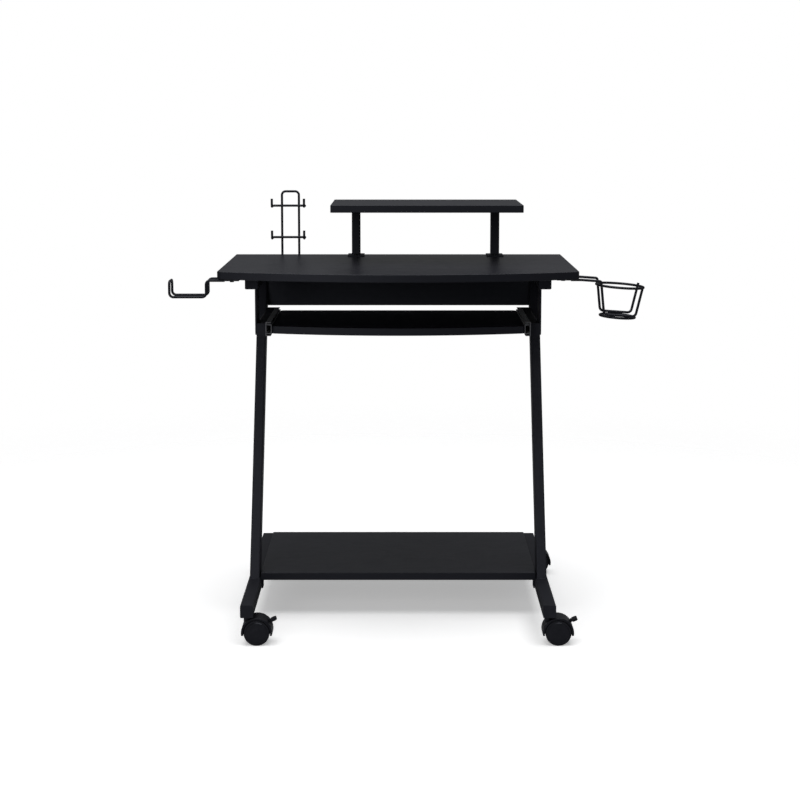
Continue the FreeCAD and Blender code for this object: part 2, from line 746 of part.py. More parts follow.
caps = []
for side_name, side in sides:
    across = side * size("frame_spread")
    arm_x = side * (leg_inner - size("arm_wide") / 2)
    tube_ends = (
        ("foot", "Sizes.foot_wide", "Sizes.foot_tall", across, (foot_bottom + foot_top) / 2,
         foot_cap_y, -(size("foot_front") - cap_inset)),
        ("beam", "Sizes.beam_wide", "Sizes.beam_tall", across, top_under - size("beam_tall") / 2,
         -(size("beam_rear") + cap_inset), -(size("beam_front") - cap_inset)),
        ("arm", "Sizes.arm_wide", "Sizes.arm_tall", arm_x, arm_middle,
         -(size("arm_rear") + cap_inset), -(size("beam_front") - cap_inset)),
    )
    for tube, wide, tall, x, z, rear_y, front_y in tube_ends:
        caps.append(tube_cap("%s_%s_rear_cap" % (tube, side_name), wide, tall, x, rear_y, z, 1))
        caps.append(tube_cap("%s_%s_front_cap" % (tube, side_name), wide, tall, x, front_y, z, -1))
group(caps, "tube_end_caps")


# ---- shelf brackets and riser ----------------------------------------------------------

brackets = []
shelf_screws = []
for side_name, side in sides:
    for index, bracket_y in enumerate(bracket_ys):
        name = "bracket_%s_%d" % (side_name, index)
        low_y = bracket_y - size("bracket_wide")
        wall_x = side * foot_inner - (size("bracket_thick") if side > 0 else 0)
        wall = block(name + "_wall", "Sizes.bracket_thick", "Sizes.bracket_wide",
                     "Sizes.shelf_height - Sizes.board_thick - " + CASTER_HEIGHT,
                     (wall_x, low_y, foot_bottom))
        ledge_x = side * foot_inner - (size("bracket_reach") if side > 0 else 0)
        ledge = block(name + "_ledge", "Sizes.bracket_reach", "Sizes.bracket_wide",
                      "Sizes.bracket_thick", (ledge_x, low_y, shelf_bottom - size("bracket_thick")))
        whole = joined(name + "_bent", [wall, ledge])
        hole_x = side * (foot_inner - size("bracket_reach") / 2)
        hole_y = low_y + size("bracket_wide") / 2
        hole = cylinder(name + "_hole", "Sizes.screw_hole", "3 * Sizes.bracket_thick",
                        (hole_x, hole_y, shelf_bottom - 2 * size("bracket_thick")), UP)
        brackets.append(cut(name, whole, hole))
        shelf_screws.append(screw("shelf_screw_%s_%d" % (side_name, index),
                                  (hole_x, hole_y, shelf_bottom - size("bracket_thick")), UP,
                                  "Sizes.bracket_thick + Sizes.screw_bite"))
group(brackets, "shelf_brackets")
group(shelf_screws, "shelf_screws")

riser_plates = []
riser_screws = []
post_y = -(size("plate_rear") + size("plate_deep") / 2)
for side_name, side in sides:
    post_x = size("riser_offset") + side * size("post_spread")
    post = new_body("post_" + side_name)
    post_sketch = new_sketch(post, "post_%s_section" % side_name, "XY_Plane")
    for inset in ("0", "Sizes.tube_wall"):
        half_wide = "(Sizes.post_wide / 2 - %s)" % inset
        half_deep = "(Sizes.post_deep / 2 - %s)" % inset
        draw_rectangle(post_sketch, ("-" + half_wide, "-" + half_deep), (half_wide, half_deep))
    pad(post, post_sketch, "Sizes.riser_height - Sizes.board_thick - 2 * Sizes.plate_thick")
    soften(post, "post_%s_round" % side_name, "Sizes.tube_round",
           lambda edge: along(edge, UP) and abs(edge.BoundBox.XMax) > size("post_wide") / 2 - 1e-3)
    keep(post, "riser_post_" + side_name, (post_x, post_y, size("top_height") + size("plate_thick")))

    ends = (("base", size("top_height"), size("top_height") + size("plate_thick"), DOWN),
            ("head", riser_bottom - size("plate_thick"), riser_bottom - size("plate_thick"), UP))
    for end_name, plate_z, seat_z, direction in ends:
        name = "riser_%s_%s" % (end_name, side_name)
        plate = block(name + "_blank", "Sizes.plate_wide", "Sizes.plate_deep", "Sizes.plate_thick",
                      (post_x - size("plate_wide") / 2, post_y - size("plate_deep") / 2, plate_z))
        holes = []
        for end in (-1, 1):
            hole_y = post_y + end * (size("plate_deep") / 2 - size("plate_screw_inset"))
            holes.append(cylinder("%s_hole_%d" % (name, end + 1), "Sizes.screw_hole",
                                  "3 * Sizes.plate_thick",
                                  (post_x, hole_y, plate_z - size("plate_thick")), UP))
            riser_screws.append(screw("%s_screw_%d" % (name, end + 1), (post_x, hole_y, seat_z),
                                      direction, "Sizes.plate_thick + Sizes.screw_bite"))
        riser_plates.append(cut(name, plate, joined(name + "_holes", holes)))
group(riser_plates, "riser_plates")
group(riser_screws, "riser_screws")


# ---- keyboard slides -------------------------------------------------------------------
# A slide is drawn with X running from the arm (0) towards the tray, along -Y from Y = 0.

def slide_rail(name, side, outline, length):
    """A rolled section from points (distance from the arm, height), for one side."""
    body = new_body(name)
    sketch = new_sketch(body, name + "_section", "XZ_Plane")
    draw_outline(sketch, [(signed(-side, across), up) for across, up in outline])
    pad(body, sketch, length)
    return body


half_tall = "Sizes.slide_tall / 2"
inner_tall = "(%s - Sizes.rail_thick - Sizes.ball_size - 2 * Sizes.ball_clear)" % half_tall
cage_outer = "(%s + Sizes.ball_size / 2 + Sizes.cage_thick / 2)" % inner_tall
flange_end = "(Sizes.slide_wide - Sizes.rail_thick - Sizes.cage_clear)"
cage_start = "(Sizes.rail_thick + Sizes.cage_clear)"
inner_start = "(%s + Sizes.cage_thick + Sizes.cage_clear)" % cage_start


def channel(web, lip, outer, thick):
    """A channel section: a web at one distance, flanges from it to a lip."""
    edge = "(%s + %s)" % (web, thick) if value(lip) > value(web) else "(%s - %s)" % (web, thick)
    inner = "(%s - %s)" % (outer, thick)
    return ((web, "-" + outer), (lip, "-" + outer), (lip, "-" + inner), (edge, "-" + inner),
            (edge, inner), (lip, inner), (lip, outer), (web, outer))


slide_screws = []
inner_screws = []
for side_name, side in sides:
    arm_face = side * arm_inner
    slide_y = -(size("slide_front") - size("slide_long"))

    outer_rail = slide_rail("outer_rail_" + side_name, side,
                            channel("0", flange_end, "(%s)" % half_tall, "Sizes.rail_thick"),
                            "Sizes.slide_long")
    drill(outer_rail, "outer_rail_%s_holes" % side_name, "YZ_Plane", "0",
          [(repr(-reach - slide_y), "0") for reach in rail_screws],
          "Sizes.rail_head", "Sizes.rail_thick", reverse=side < 0)
    keep(outer_rail, "slide_outer_rail_" + side_name, (arm_face, slide_y, slide_middle))

    inner_rail = slide_rail("inner_rail_" + side_name, side,
                            channel("Sizes.slide_wide", inner_start, inner_tall, "Sizes.rail_thick"),
                            "Sizes.slide_long")
    drill(inner_rail, "inner_rail_%s_holes" % side_name, "YZ_Plane", signed(-side, "Sizes.slide_wide"),
          [(repr(-reach - slide_y), "-Sizes.slide_rise") for reach in tray_screws],
          "Sizes.rail_head", "Sizes.rail_thick", reverse=side > 0)
    keep(inner_rail, "slide_inner_rail_" + side_name, (arm_face, slide_y, slide_middle))

    cage = slide_rail("cage_" + side_name, side,
                      channel(cage_start, flange_end, cage_outer, "Sizes.cage_thick"), "Sizes.cage_long")
    ball_across = "((%s + %s) / 2)" % (inner_start, flange_end)
    ball_gap = "(Sizes.cage_long / (Sizes.ball_count))"
    ball_ys = ["-%s * (%d + 0.5)" % (ball_gap, index) for index in range(int(size("ball_count")))]
    drill(cage, "cage_%s_holes" % side_name, "XY_Plane", "0",
          [(signed(-side, ball_across), ball_y) for ball_y in ball_ys],
          "Sizes.ball_size + 4 * Sizes.ball_clear", "2 * " + cage_outer, symmetric=True)
    cage_y = slide_y - (size("slide_long") - size("cage_long")) / 2
    keep(cage, "ball_cage_" + side_name, (arm_face, cage_y, slide_middle))

    balls = []
    ball_height = value(inner_tall) + size("ball_clear") + size("ball_size") / 2
    for index, ball_y in enumerate(ball_ys):
        for level in (-1, 1):
            balls.append(bound("Sphere", "ball_%s_%d_%d" % (side_name, index, level + 1),
                               {"Radius": "Sizes.ball_size / 2"},
                               (arm_face - side * value(ball_across), cage_y + value(ball_y),
                                slide_middle + level * ball_height)))
    group(balls, "slide_balls_" + side_name)

    for index, reach in enumerate(rail_screws):
        seat = (arm_face, -reach, slide_middle)
        slide_screws.append(screw("slide_screw_%s_%d" % (side_name, index), seat,
                                  RIGHT * side, "Sizes.rail_screw_bite", "rail"))
    for index, reach in enumerate(tray_screws):
        seat = (side * value(TRAY_HALF), -reach, slide_middle - size("slide_rise"))
        inner_screws.append(screw("inner_screw_%s_%d" % (side_name, index), seat,
                                  RIGHT * -side, "Sizes.rail_screw_bite", "rail"))
group(slide_screws, "slide_arm_screws")
group(inner_screws, "tray_screws")


# ---- wire holders ----------------------------------------------------------------------

wire = size("wire_size")
bend = size("wire_bend")
tight = size("wire_tight_bend")
top = size("top_height")
wire_under = top_under - wire / 2
top_screws = []

accessory_tabs = []
for tab_name, tab_x, tab_y, tab_wide, tab_deep, spacing in tabs:
    blank = block(tab_name + "_tab_blank", "Sizes." + tab_wide, "Sizes." + tab_deep, "Sizes.tab_thick",
                  (tab_x - size(tab_wide) / 2, tab_y - size(tab_deep) / 2, top_under - size("tab_thick")))
    holes = []
    for end in (-1, 1):
        hole = (tab_x + end * spacing[0], tab_y + end * spacing[1], top_under - 2 * size("tab_thick"))
        holes.append(cylinder("%s_tab_hole_%d" % (tab_name, end + 1), "Sizes.screw_hole",
                              "3 * Sizes.tab_thick", hole, UP))
        seat = (hole[0], hole[1], top_under - size("tab_thick"))
        top_screws.append(screw("%s_tab_screw_%d" % (tab_name, end + 1), seat, UP,
                                "Sizes.tab_thick + Sizes.screw_bite"))
    accessory_tabs.append(cut(tab_name + "_tab", blank, joined(tab_name + "_tab_holes", holes)))
group(accessory_tabs, "wire_holder_tabs")

for side_name, side in sides:
    for reach in beam_screws:
        seat = (side * size("frame_spread"), -reach, beam_bottom)
        top_screws.append(screw("beam_screw_%s_%d" % (side_name, reach), seat, UP,
                                "Sizes.beam_tall + Sizes.screw_bite"))
group(top_screws, "desktop_screws")

rack_y = wire / 2 + size("rack_gap")
rack_x = (-size("rack_left"), -size("rack_left") + size("rack_gauge"))
rack_top = top + size("rack_rise") - wire / 2
rack_start = -size("rack_tab_rear")
rack = wire_form("rack", ((rack_x[0], rack_start, wire_under), (rack_x[0], rack_y, wire_under),
                          (rack_x[0], rack_y, rack_top), (rack_x[1], rack_y, rack_top),
                          (rack_x[1], rack_y, wire_under), (rack_x[1], rack_start, wire_under)),
                 (tight, bend, bend, tight))
keep(rack, "controller_rack_hoop")

rack_bars = []
for bar_name in ("rack_lower", "rack_upper"):
    bar_z = top + size(bar_name)
    bar_y = rack_y - wire
    tip_y = bar_y - size("rack_hook_reach")
    tip_z = bar_z + size("rack_hook_rise")
    left_x = rack_x[0] - size("rack_side") - wire / 2
    right_x = rack_x[1] + size("rack_side") - wire / 2
    rack_bars.append(wire_form(bar_name + "_bar",
                               ((left_x, tip_y, tip_z), (left_x, tip_y, bar_z), (left_x, bar_y, bar_z),
                                (right_x, bar_y, bar_z), (right_x, tip_y, bar_z), (right_x, tip_y, tip_z)),
                               (tight,) * 4))
group(rack_bars, "controller_rack_hooks")

hook_y = (-size("hook_rear"), -size("hook_rear") - size("hook_gauge"))
hook_low = wire_under - size("hook_drop")
hook_high = hook_low + size("hook_rise")
hook_route = [(-size("hook_start"), wire_under), (-size("hook_drop_at"), wire_under),
              (-size("hook_drop_at"), hook_low), (-size("hook_reach"), hook_low),
              (-size("hook_reach"), hook_high)]
hook_points = [(across, hook_y[0], up) for across, up in hook_route]
hook_points += [(across, hook_y[1], up) for across, up in reversed(hook_route)]
keep(wire_form("hook", hook_points, (bend,) * 8), "headphone_hook")

# The cup holder droops a little past the point where its arms leave the tab.
droop = turn(BACK, size("cup_droop"))
droop_at = FreeCAD.Vector(size("cup_start") + size("cup_droop_start"), 0, wire_under)


def drooped(across, ahead, up):
    """A place in the level cup holder, as it is once the holder droops."""
    return droop_at + droop.multVec(FreeCAD.Vector(across, ahead, up) - droop_at)


ring_z = wire_under - size("cup_ring_drop")
foot_z = wire_under - size("cup_deep")
strut_out = size("cup_ring") / 2 + wire + size("weld_gap")
strut_reach = math.sqrt(strut_out ** 2 - (size("cup_gauge") / 2) ** 2)
strut_lean = (strut_reach - size("cup_foot_strut")) / (ring_z - foot_z)
strut_top = strut_reach + strut_lean * size("cup_ring_drop")
strut_end = strut_reach + strut_lean * wire
cup_points = ((size("cup_middle") - strut_top, wire_under),
              (size("cup_middle") - size("cup_foot_strut"), foot_z),
              (size("cup_middle") + size("cup_foot_strut"), foot_z),
              (size("cup_middle") + strut_end, ring_z + wire))
cup_wires = []
for index, offset in enumerate((-1, 1)):
    plane_y = -size("cup_rear") + offset * size("cup_gauge") / 2
    route = [(size("cup_start"), plane_y, wire_under), (droop_at.x, plane_y, wire_under)]
    route += [drooped(across, plane_y, up) for across, up in cup_points]
    cup_wires.append(wire_form("cup_wire_%d" % index, route, (bend, tight, bend, bend)))
group(cup_wires, "cup_holder_wires")

cup_rings = []
for ring_name, height in (("cup_ring", ring_z), ("cup_foot_ring", foot_z - wire - size("weld_gap"))):
    ring = bound("Torus", ring_name + "_wire",
                 {"Radius1": "Sizes.%s / 2" % ring_name, "Radius2": "Sizes.wire_size / 2"})
    centre = drooped(size("cup_middle"), -size("cup_rear"), height)
    ring.Placement = FreeCAD.Placement(centre, droop)
    cup_rings.append(ring)
group(cup_rings, "cup_holder_rings")


# ---- panel bolts -----------------------------------------------------------------------

panel_bolts = []
for side_name, side in sides:
    for index, height in enumerate(bolt_heights):
        seat = (side * (size("frame_spread") + size("leg_wide") / 2),
                -(size("panel_rear") + size("board_thick") / 2), top_under + value(height))
        panel_bolts.append(screw("panel_bolt_%s_%d" % (side_name, index), seat, RIGHT * -side,
                                 "Sizes.leg_wide + Sizes.bolt_bite", "bolt"))
group(panel_bolts, "back_panel_bolts")


# ---- casters ---------------------------------------------------------------------------
# A caster is drawn with its stem on the Z axis, the floor at Z = 0 and its wheels trailing
# towards +X. Its two wheels share an axle along Y.

wheel_middle = "Sizes.wheel_size / 2"
boss_top = "(%s - Sizes.boss_gap)" % CASTER_HEIGHT
hood_half = "(Sizes.hood_wide / 2)"
web_half = "(Sizes.hood_web / 2)"
wheel_start = "(%s + Sizes.wheel_gap)" % web_half
well_size = "(2 * %s - 2 * Sizes.hood_wall)" % HOOD_RADIUS
pivot_reach = "(%s - Sizes.lever_pivot_inset)" % HOOD_RADIUS
pivot_across = "(Sizes.caster_trail + %s * cos(Sizes.lever_pivot_angle * 1deg))" % pivot_reach
pivot_up = "(%s + %s * sin(Sizes.lever_pivot_angle * 1deg))" % (wheel_middle, pivot_reach)


def caster_hood(name, braked):
    """The swivelling housing: a part-round shell over both wheels, a web between them that
    holds the axle, and a boss that turns on the stem."""
    body = new_body(name)
    shell = new_sketch(body, name + "_shell", "XZ_Plane")
    radius = value(HOOD_RADIUS)
    centre = FreeCAD.Vector(value("Sizes.caster_trail"), value(wheel_middle), 0)
    dip = math.asin(size("hood_skirt") / radius)
    arc = Part.ArcOfCircle(Part.Circle(centre, UP, radius), -dip, math.pi + dip)
    shell.addGeometry(arc)
    shell.addGeometry(Part.LineSegment(arc.EndPoint, arc.StartPoint))
    shell.addConstraint(Sketcher.Constraint("Coincident", 0, 2, 1, 1))
    shell.addConstraint(Sketcher.Constraint("Coincident", 1, 2, 0, 1))
    shell.addConstraint(Sketcher.Constraint("Horizontal", 1))
    pin_point(shell, 0, 3, "Sizes.caster_trail", wheel_middle)
    index = shell.addConstraint(Sketcher.Constraint("Radius", 0, radius))
    shell.renameConstraint(index, "HoodRadius")
    shell.setExpression("Constraints.HoodRadius", HOOD_RADIUS)
    index = shell.addConstraint(Sketcher.Constraint("DistanceY", -1, 1, 1, 1, arc.EndPoint.y))
    shell.renameConstraint(index, "SkirtHeight")
    shell.setExpression("Constraints.SkirtHeight", wheel_middle + " - Sizes.hood_skirt")
    pad(body, shell, "Sizes.hood_wide", symmetric=True)
    soften(body, name + "_rim", "Sizes.hood_round", lambda edge: isinstance(edge.Curve, Part.Circle))

    boss = new_sketch(body, name + "_boss", "XY_Plane", wheel_middle + " + Sizes.hood_skirt")
    draw_circle(boss, "0", "0", "Sizes.boss_size")
    pad(body, boss, boss_top + " - %s - Sizes.hood_skirt" % wheel_middle)

    for side_sign, well_name in ((1, "front"), (-1, "rear")):
        well = new_sketch(body, "%s_%s_well" % (name, well_name), "XZ_Plane",
                          signed(side_sign, web_half))
        draw_circle(well, "Sizes.caster_trail", wheel_middle, well_size)
        pocket(body, well, hood_half, reverse=side_sign > 0)

    drill(body, name + "_axle_hole", "XZ_Plane", "0", [("Sizes.caster_trail", wheel_middle)],
          "Sizes.axle_size", "Sizes.hood_web", symmetric=True)
    drill(body, name + "_stem_hole", "XY_Plane", boss_top, [("0", "0")],
          "Sizes.stem_size + 2 * Sizes.turn_clear", "Sizes.stem_sunk + 1")
    if braked:
        slot = new_sketch(body, name + "_lever_slot", "XZ_Plane")
        half = size("lever_thick") / 2 + size("lever_slot_gap")
        reach = size("lever_long")
        lowest = -half - reach * math.tan(math.radians(size("lever_swing")))
        fan = ((-half, -half), (-half, half), (reach, half), (reach, lowest), (0, -half))
        corners = []
        for along_lever, across_lever in fan:
            place = "%s * cos(Sizes.lever_tilt * 1deg) - (%s) * sin(Sizes.lever_tilt * 1deg)"
            rise = "%s * sin(Sizes.lever_tilt * 1deg) + (%s) * cos(Sizes.lever_tilt * 1deg)"
            pair = (repr(float(along_lever)), repr(float(across_lever)))
            corners.append(("%s + %s" % (pivot_across, place % pair), "%s + %s" % (pivot_up, rise % pair)))
        draw_outline(slot, corners)
        pocket(body, slot, "Sizes.lever_wide + 2 * Sizes.lever_slot_side", symmetric=True)
        drill(body, name + "_lever_pin_hole", "XZ_Plane", "0", [(pivot_across, pivot_up)],
              "Sizes.lever_pin + 2 * Sizes.turn_clear", "Sizes.hood_web", symmetric=True)
    return body


def caster_wheel(name):
    """One moulded wheel about the Y axis: tread, domed face, and hub with a blind bore. Its
    inner side is at Y = 0 and its face towards +Y."""
    body = new_body(name)
    section = new_sketch(body, name + "_section", "YZ_Plane")
    radius = "Sizes.wheel_size / 2"
    rim = "(%s - Sizes.wheel_rim)" % radius
    bore = "(Sizes.axle_size / 2 + Sizes.turn_clear)"
    hub = "Sizes.hub_size / 2"
    wide = "Sizes.wheel_wide"
    face = wide + " + Sizes.wheel_step"
    inside = wide + " - Sizes.wheel_skin"
    bore_end = wide + " - Sizes.bore_end"
    draw_outline(section, (
        ("0", rim), ("0", radius + " - Sizes.wheel_edge"), ("Sizes.wheel_edge", radius),
        (wide + " - Sizes.wheel_edge", radius), (wide, radius + " - Sizes.wheel_edge"),
        (wide, rim), (face, rim + " - Sizes.wheel_step"),
        (wide + " + Sizes.wheel_dome * 0.8", hub + " + Sizes.hub_flare"),
        (wide + " + Sizes.wheel_dome", hub), (wide + " + Sizes.wheel_dome", "0"),
        (bore_end, "0"), (bore_end, bore), ("0", bore), ("0", hub), (inside, hub), (inside, rim)))
    feature = body.newObject("PartDesign::Revolution", name + "_turned")
    feature.Profile = section
    feature.ReferenceAxis = (origin_of(body, "Y_Axis"), [""])
    feature.Angle = 360
    body.Tip = feature
    doc.recompute()
    return body


def brake_lever(name):
    """A foot lever drawn along X from its pivot on the Y axis, with pins at its sides."""
    body = new_body(name)
    half = "Sizes.lever_thick / 2"
    arm = new_sketch(body, name + "_arm", "XZ_Plane")
    draw_rectangle(arm, ("0", "-" + half), ("Sizes.lever_long - 1", half))
    pad(body, arm, "Sizes.lever_wide", symmetric=True)
    hub = new_sketch(body, name + "_hub", "XZ_Plane")
    draw_circle(hub, "0", "0", "Sizes.lever_thick")
    pad(body, hub, "Sizes.lever_wide", symmetric=True)
    tread = new_sketch(body, name + "_tread", "XY_Plane")
    draw_rectangle(tread, ("Sizes.lever_pad_start", "-Sizes.lever_pad_wide / 2"),
                   ("Sizes.lever_long", "Sizes.lever_pad_wide / 2"))
    pad(body, tread, "Sizes.lever_thick", symmetric=True)
    soften(body, name + "_tread_corners", "Sizes.lever_pad_wide / 4",
           lambda edge: along(edge, UP) and edge.BoundBox.XMin > size("lever_long") - 0.5)
    pins = new_sketch(body, name + "_pins", "XZ_Plane")
    draw_circle(pins, "0", "0", "Sizes.lever_pin")
    pad(body, pins, "Sizes.hood_web - 2 * Sizes.lever_slot_side", symmetric=True)
    return body


corners = []
for row_name, stem_y in (("front", stem_ys[0]), ("rear", stem_ys[1])):
    for side_name, side in sides:
        corners.append(("%s_%s" % (row_name, side_name), side * size("frame_spread"), stem_y,
                        row_name == "front"))

axle_reach = "(%s + Sizes.wheel_wide - Sizes.bore_end - Sizes.axle_end_gap)" % wheel_start
stems = []
for name, x, y, braked in corners:
    keep(caster_hood("hood_" + name, braked), "caster_hood_" + name, (x, y, 0))
    axle_x = x + size("caster_trail")
    axle_z = value(wheel_middle)
    axle = cylinder("axle_" + name, "Sizes.axle_size", "2 * " + axle_reach, (0, 0, 0), BACK)
    keep(axle, "caster_axle_" + name, (axle_x, y - value(axle_reach), axle_z), facing(BACK))
    for wheel_name, heading in (("fore", 180), ("aft", 0)):
        offset = value(wheel_start) * (1 if heading == 0 else -1)
        keep(caster_wheel("wheel_%s_%s" % (name, wheel_name)), "wheel_%s_%s" % (name, wheel_name),
             (axle_x, y + offset, axle_z), turn(UP, heading))
    if braked:
        keep(brake_lever("lever_" + name), "brake_lever_" + name,
             (x + value(pivot_across), y, value(pivot_up)), turn(AHEAD, size("lever_tilt")))
    shank_low = value(boss_top) - size("stem_sunk")
    shank = cylinder("stem_%s_shank" % name, "Sizes.stem_size",
                     "Sizes.stem_sunk + Sizes.boss_gap + Sizes.stem_up", (x, y, shank_low), UP)
    nut = bound("Prism", "stem_%s_nut" % name,
                {"Circumradius": "Sizes.stem_nut / sqrt(3)", "Height": "Sizes.stem_nut_tall"},
                (x, y, foot_bottom + size("tube_wall")))
    stems.append(joined("stem_" + name, [shank, nut]))
group(stems, "caster_stems")
doc.recompute()


# ---- origin, checks and files ----------------------------------------------------------
# The finished desk stands with the middle of its outer box over X = 0 and Y = 0.

whole_box = FreeCAD.BoundBox()
for item in subparts:
    whole_box.add(item.Shape.BoundBox)
to_origin = FreeCAD.Vector(-whole_box.Center.x, -whole_box.Center.y, -whole_box.ZMin)
for item in subparts:
    item.Placement.Base = item.Placement.Base + to_origin
doc.recompute()

for item in doc.Objects:
    if "Invalid" in item.State or "Error" in item.State:
        raise ValueError("%s failed: %s" % (item.Label, item.State))
for item in subparts:
    if item.Shape.isNull() or not item.Shape.isValid() or not item.Shape.Solids:
        raise ValueError("%s has no sound solid" % item.Label)

os.makedirs("parts", exist_ok=True)
for item in subparts:
    item.Shape.exportStep("parts/" + item.Label + ".step")
print("%d sub-parts, outer box %.1f x %.1f x %.1f mm" % (
    len(subparts), whole_box.XLength, whole_box.YLength, whole_box.ZLength))
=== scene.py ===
import json
import math

import bpy
import numpy as np
from mathutils import Euler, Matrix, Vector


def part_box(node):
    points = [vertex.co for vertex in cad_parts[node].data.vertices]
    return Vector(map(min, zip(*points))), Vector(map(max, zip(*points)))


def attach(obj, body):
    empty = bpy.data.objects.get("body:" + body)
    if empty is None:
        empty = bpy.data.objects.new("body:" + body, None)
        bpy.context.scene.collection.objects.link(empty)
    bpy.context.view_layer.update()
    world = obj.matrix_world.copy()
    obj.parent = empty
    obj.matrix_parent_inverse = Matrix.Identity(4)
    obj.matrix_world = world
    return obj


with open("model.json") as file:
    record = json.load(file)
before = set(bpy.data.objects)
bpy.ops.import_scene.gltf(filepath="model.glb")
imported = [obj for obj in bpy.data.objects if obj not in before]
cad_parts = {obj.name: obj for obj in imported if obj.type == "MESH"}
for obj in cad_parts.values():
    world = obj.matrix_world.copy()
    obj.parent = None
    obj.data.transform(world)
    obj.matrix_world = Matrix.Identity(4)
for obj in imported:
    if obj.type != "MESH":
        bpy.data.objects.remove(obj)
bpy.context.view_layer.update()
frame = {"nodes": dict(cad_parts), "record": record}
nodes = frame["nodes"]


# ---- Boards ----------------------------------------------------------------------------
# The desktop, monitor shelf, keyboard tray, bottom shelf and rear panel are chipboard
# pressed between sheets of black melamine paper. A PVC band is glued round their edges and
# trimmed flush, which leaves a fine seam just inside each arris.

BOARD_ARRIS = 0.001
SEAM_WIDE = 0.0005
GRAIN_STRETCH = (18, 260, 260)
PORE_STRETCH = (110, 1500, 1500)
PRINT_DEPTH = 0.00005
PRINT_CLOUDS = 7.0
PORE_SHARE = 0.65
DUST_BLOTCHES = 16.0
DUST_SPECKS = 900.0
SMEAR_STRETCH = (9, 26, 26)
SMEAR_BEND = 5.0
MELAMINE_DARK = (0.0050, 0.0050, 0.0080, 1)
MELAMINE_LIGHT = (0.0076, 0.0076, 0.0112, 1)
EDGE_BAND = (0.0062, 0.0064, 0.0092, 1)
SEAM = (0.0020, 0.0020, 0.0025, 1)
DUST = (0.20, 0.19, 0.18, 1)
COOL_SHEEN = (0.84, 0.87, 1.0, 1)


def add_node(tree, kind, inputs=None, **settings):
    """A shader node with its settings. An input given as a socket is linked, and one given
    as a value is set."""
    node = tree.nodes.new("ShaderNode" + kind)
    for name, setting in settings.items():
        setattr(node, name, setting)
    for name, given in (inputs or {}).items():
        if isinstance(given, bpy.types.NodeSocket):
            tree.links.new(given, node.inputs[name])
        else:
            node.inputs[name].default_value = given
    return node


def arithmetic(tree, operation, *values):
    """The result of a Math node on one, two or three values or sockets."""
    return add_node(tree, "Math", dict(enumerate(values)), operation=operation).outputs[0]


def stretched(tree, place, scale):
    """A place multiplied by a scale along each axis, to draw a pattern out along one."""
    node = add_node(tree, "VectorMath", {0: place, 1: scale}, operation="MULTIPLY")
    return node.outputs[0]


def noise(tree, place, scale, detail=2.0, roughness=0.5):
    """A soft noise of 0 to 1, with about as many patches to a unit of the place as scale says."""
    inputs = {"Vector": place, "Scale": scale, "Detail": detail, "Roughness": roughness}
    return add_node(tree, "TexNoise", inputs).outputs["Fac"]


def smooth_step(tree, given, low, high):
    """0 below low, 1 above high and a smooth rise between them."""
    inputs = {"Value": given, "From Min": low, "From Max": high}
    return add_node(tree, "MapRange", inputs, interpolation_type="SMOOTHSTEP").outputs[0]


def between(tree, given, at_none, at_full):
    """A value that runs from at_none to at_full as a mask runs from 0 to 1."""
    return add_node(tree, "MapRange", {"Value": given, "To Min": at_none, "To Max": at_full}).outputs[0]


def blended(tree, mask, under, over):
    """One colour laid over another by a mask."""
    node = add_node(tree, "Mix", {0: mask, 6: under, 7: over}, data_type="RGBA")
    return node.outputs[2]


def effect(name, takes, gives):
    """An empty node group, with its inputs as sockets to read and its outputs to link to."""
    tree = bpy.data.node_groups.new(name, "ShaderNodeTree")
    for label, kind in takes.items():
        tree.interface.new_socket(label, in_out="INPUT", socket_type="NodeSocket" + kind)
    for label, kind in gives.items():
        tree.interface.new_socket(label, in_out="OUTPUT", socket_type="NodeSocket" + kind)
    entry = tree.nodes.new("NodeGroupInput")
    leave = tree.nodes.new("NodeGroupOutput")
    return tree, entry.outputs, leave.inputs


def use_effect(tree, group, inputs):
    """An effect placed in a material with its own values."""
    node = tree.nodes.new("ShaderNodeGroup")
    node.node_tree = group
    for name, given in inputs.items():
        if isinstance(given, bpy.types.NodeSocket):
            tree.links.new(given, node.inputs[name])
        else:
            node.inputs[name].default_value = given
    return node.outputs


def new_material(name):
    """A material with its shader, and the place on the piece that its patterns read."""
    material = bpy.data.materials.new(name)
    material.use_nodes = True
    tree = material.node_tree
    shader = tree.nodes["Principled BSDF"]
    place = add_node(tree, "TexCoord").outputs["Object"]
    return material, tree, shader, place


def set_shader(tree, shader, **inputs):
    """Values and sockets for the shader, with underscores for the spaces in their names."""
    for name, given in inputs.items():
        socket = shader.inputs[name.replace("_", " ")]
        if isinstance(given, bpy.types.NodeSocket):
            tree.links.new(given, socket)
        else:
            socket.default_value = given


def relief(tree, height, distance, strength=1.0):
    """A surface's small ups and downs, from a height of 0 to 1 that stands for a distance."""
    inputs = {"Height": height, "Distance": distance, "Strength": strength}
    return add_node(tree, "Bump", inputs).outputs["Normal"]


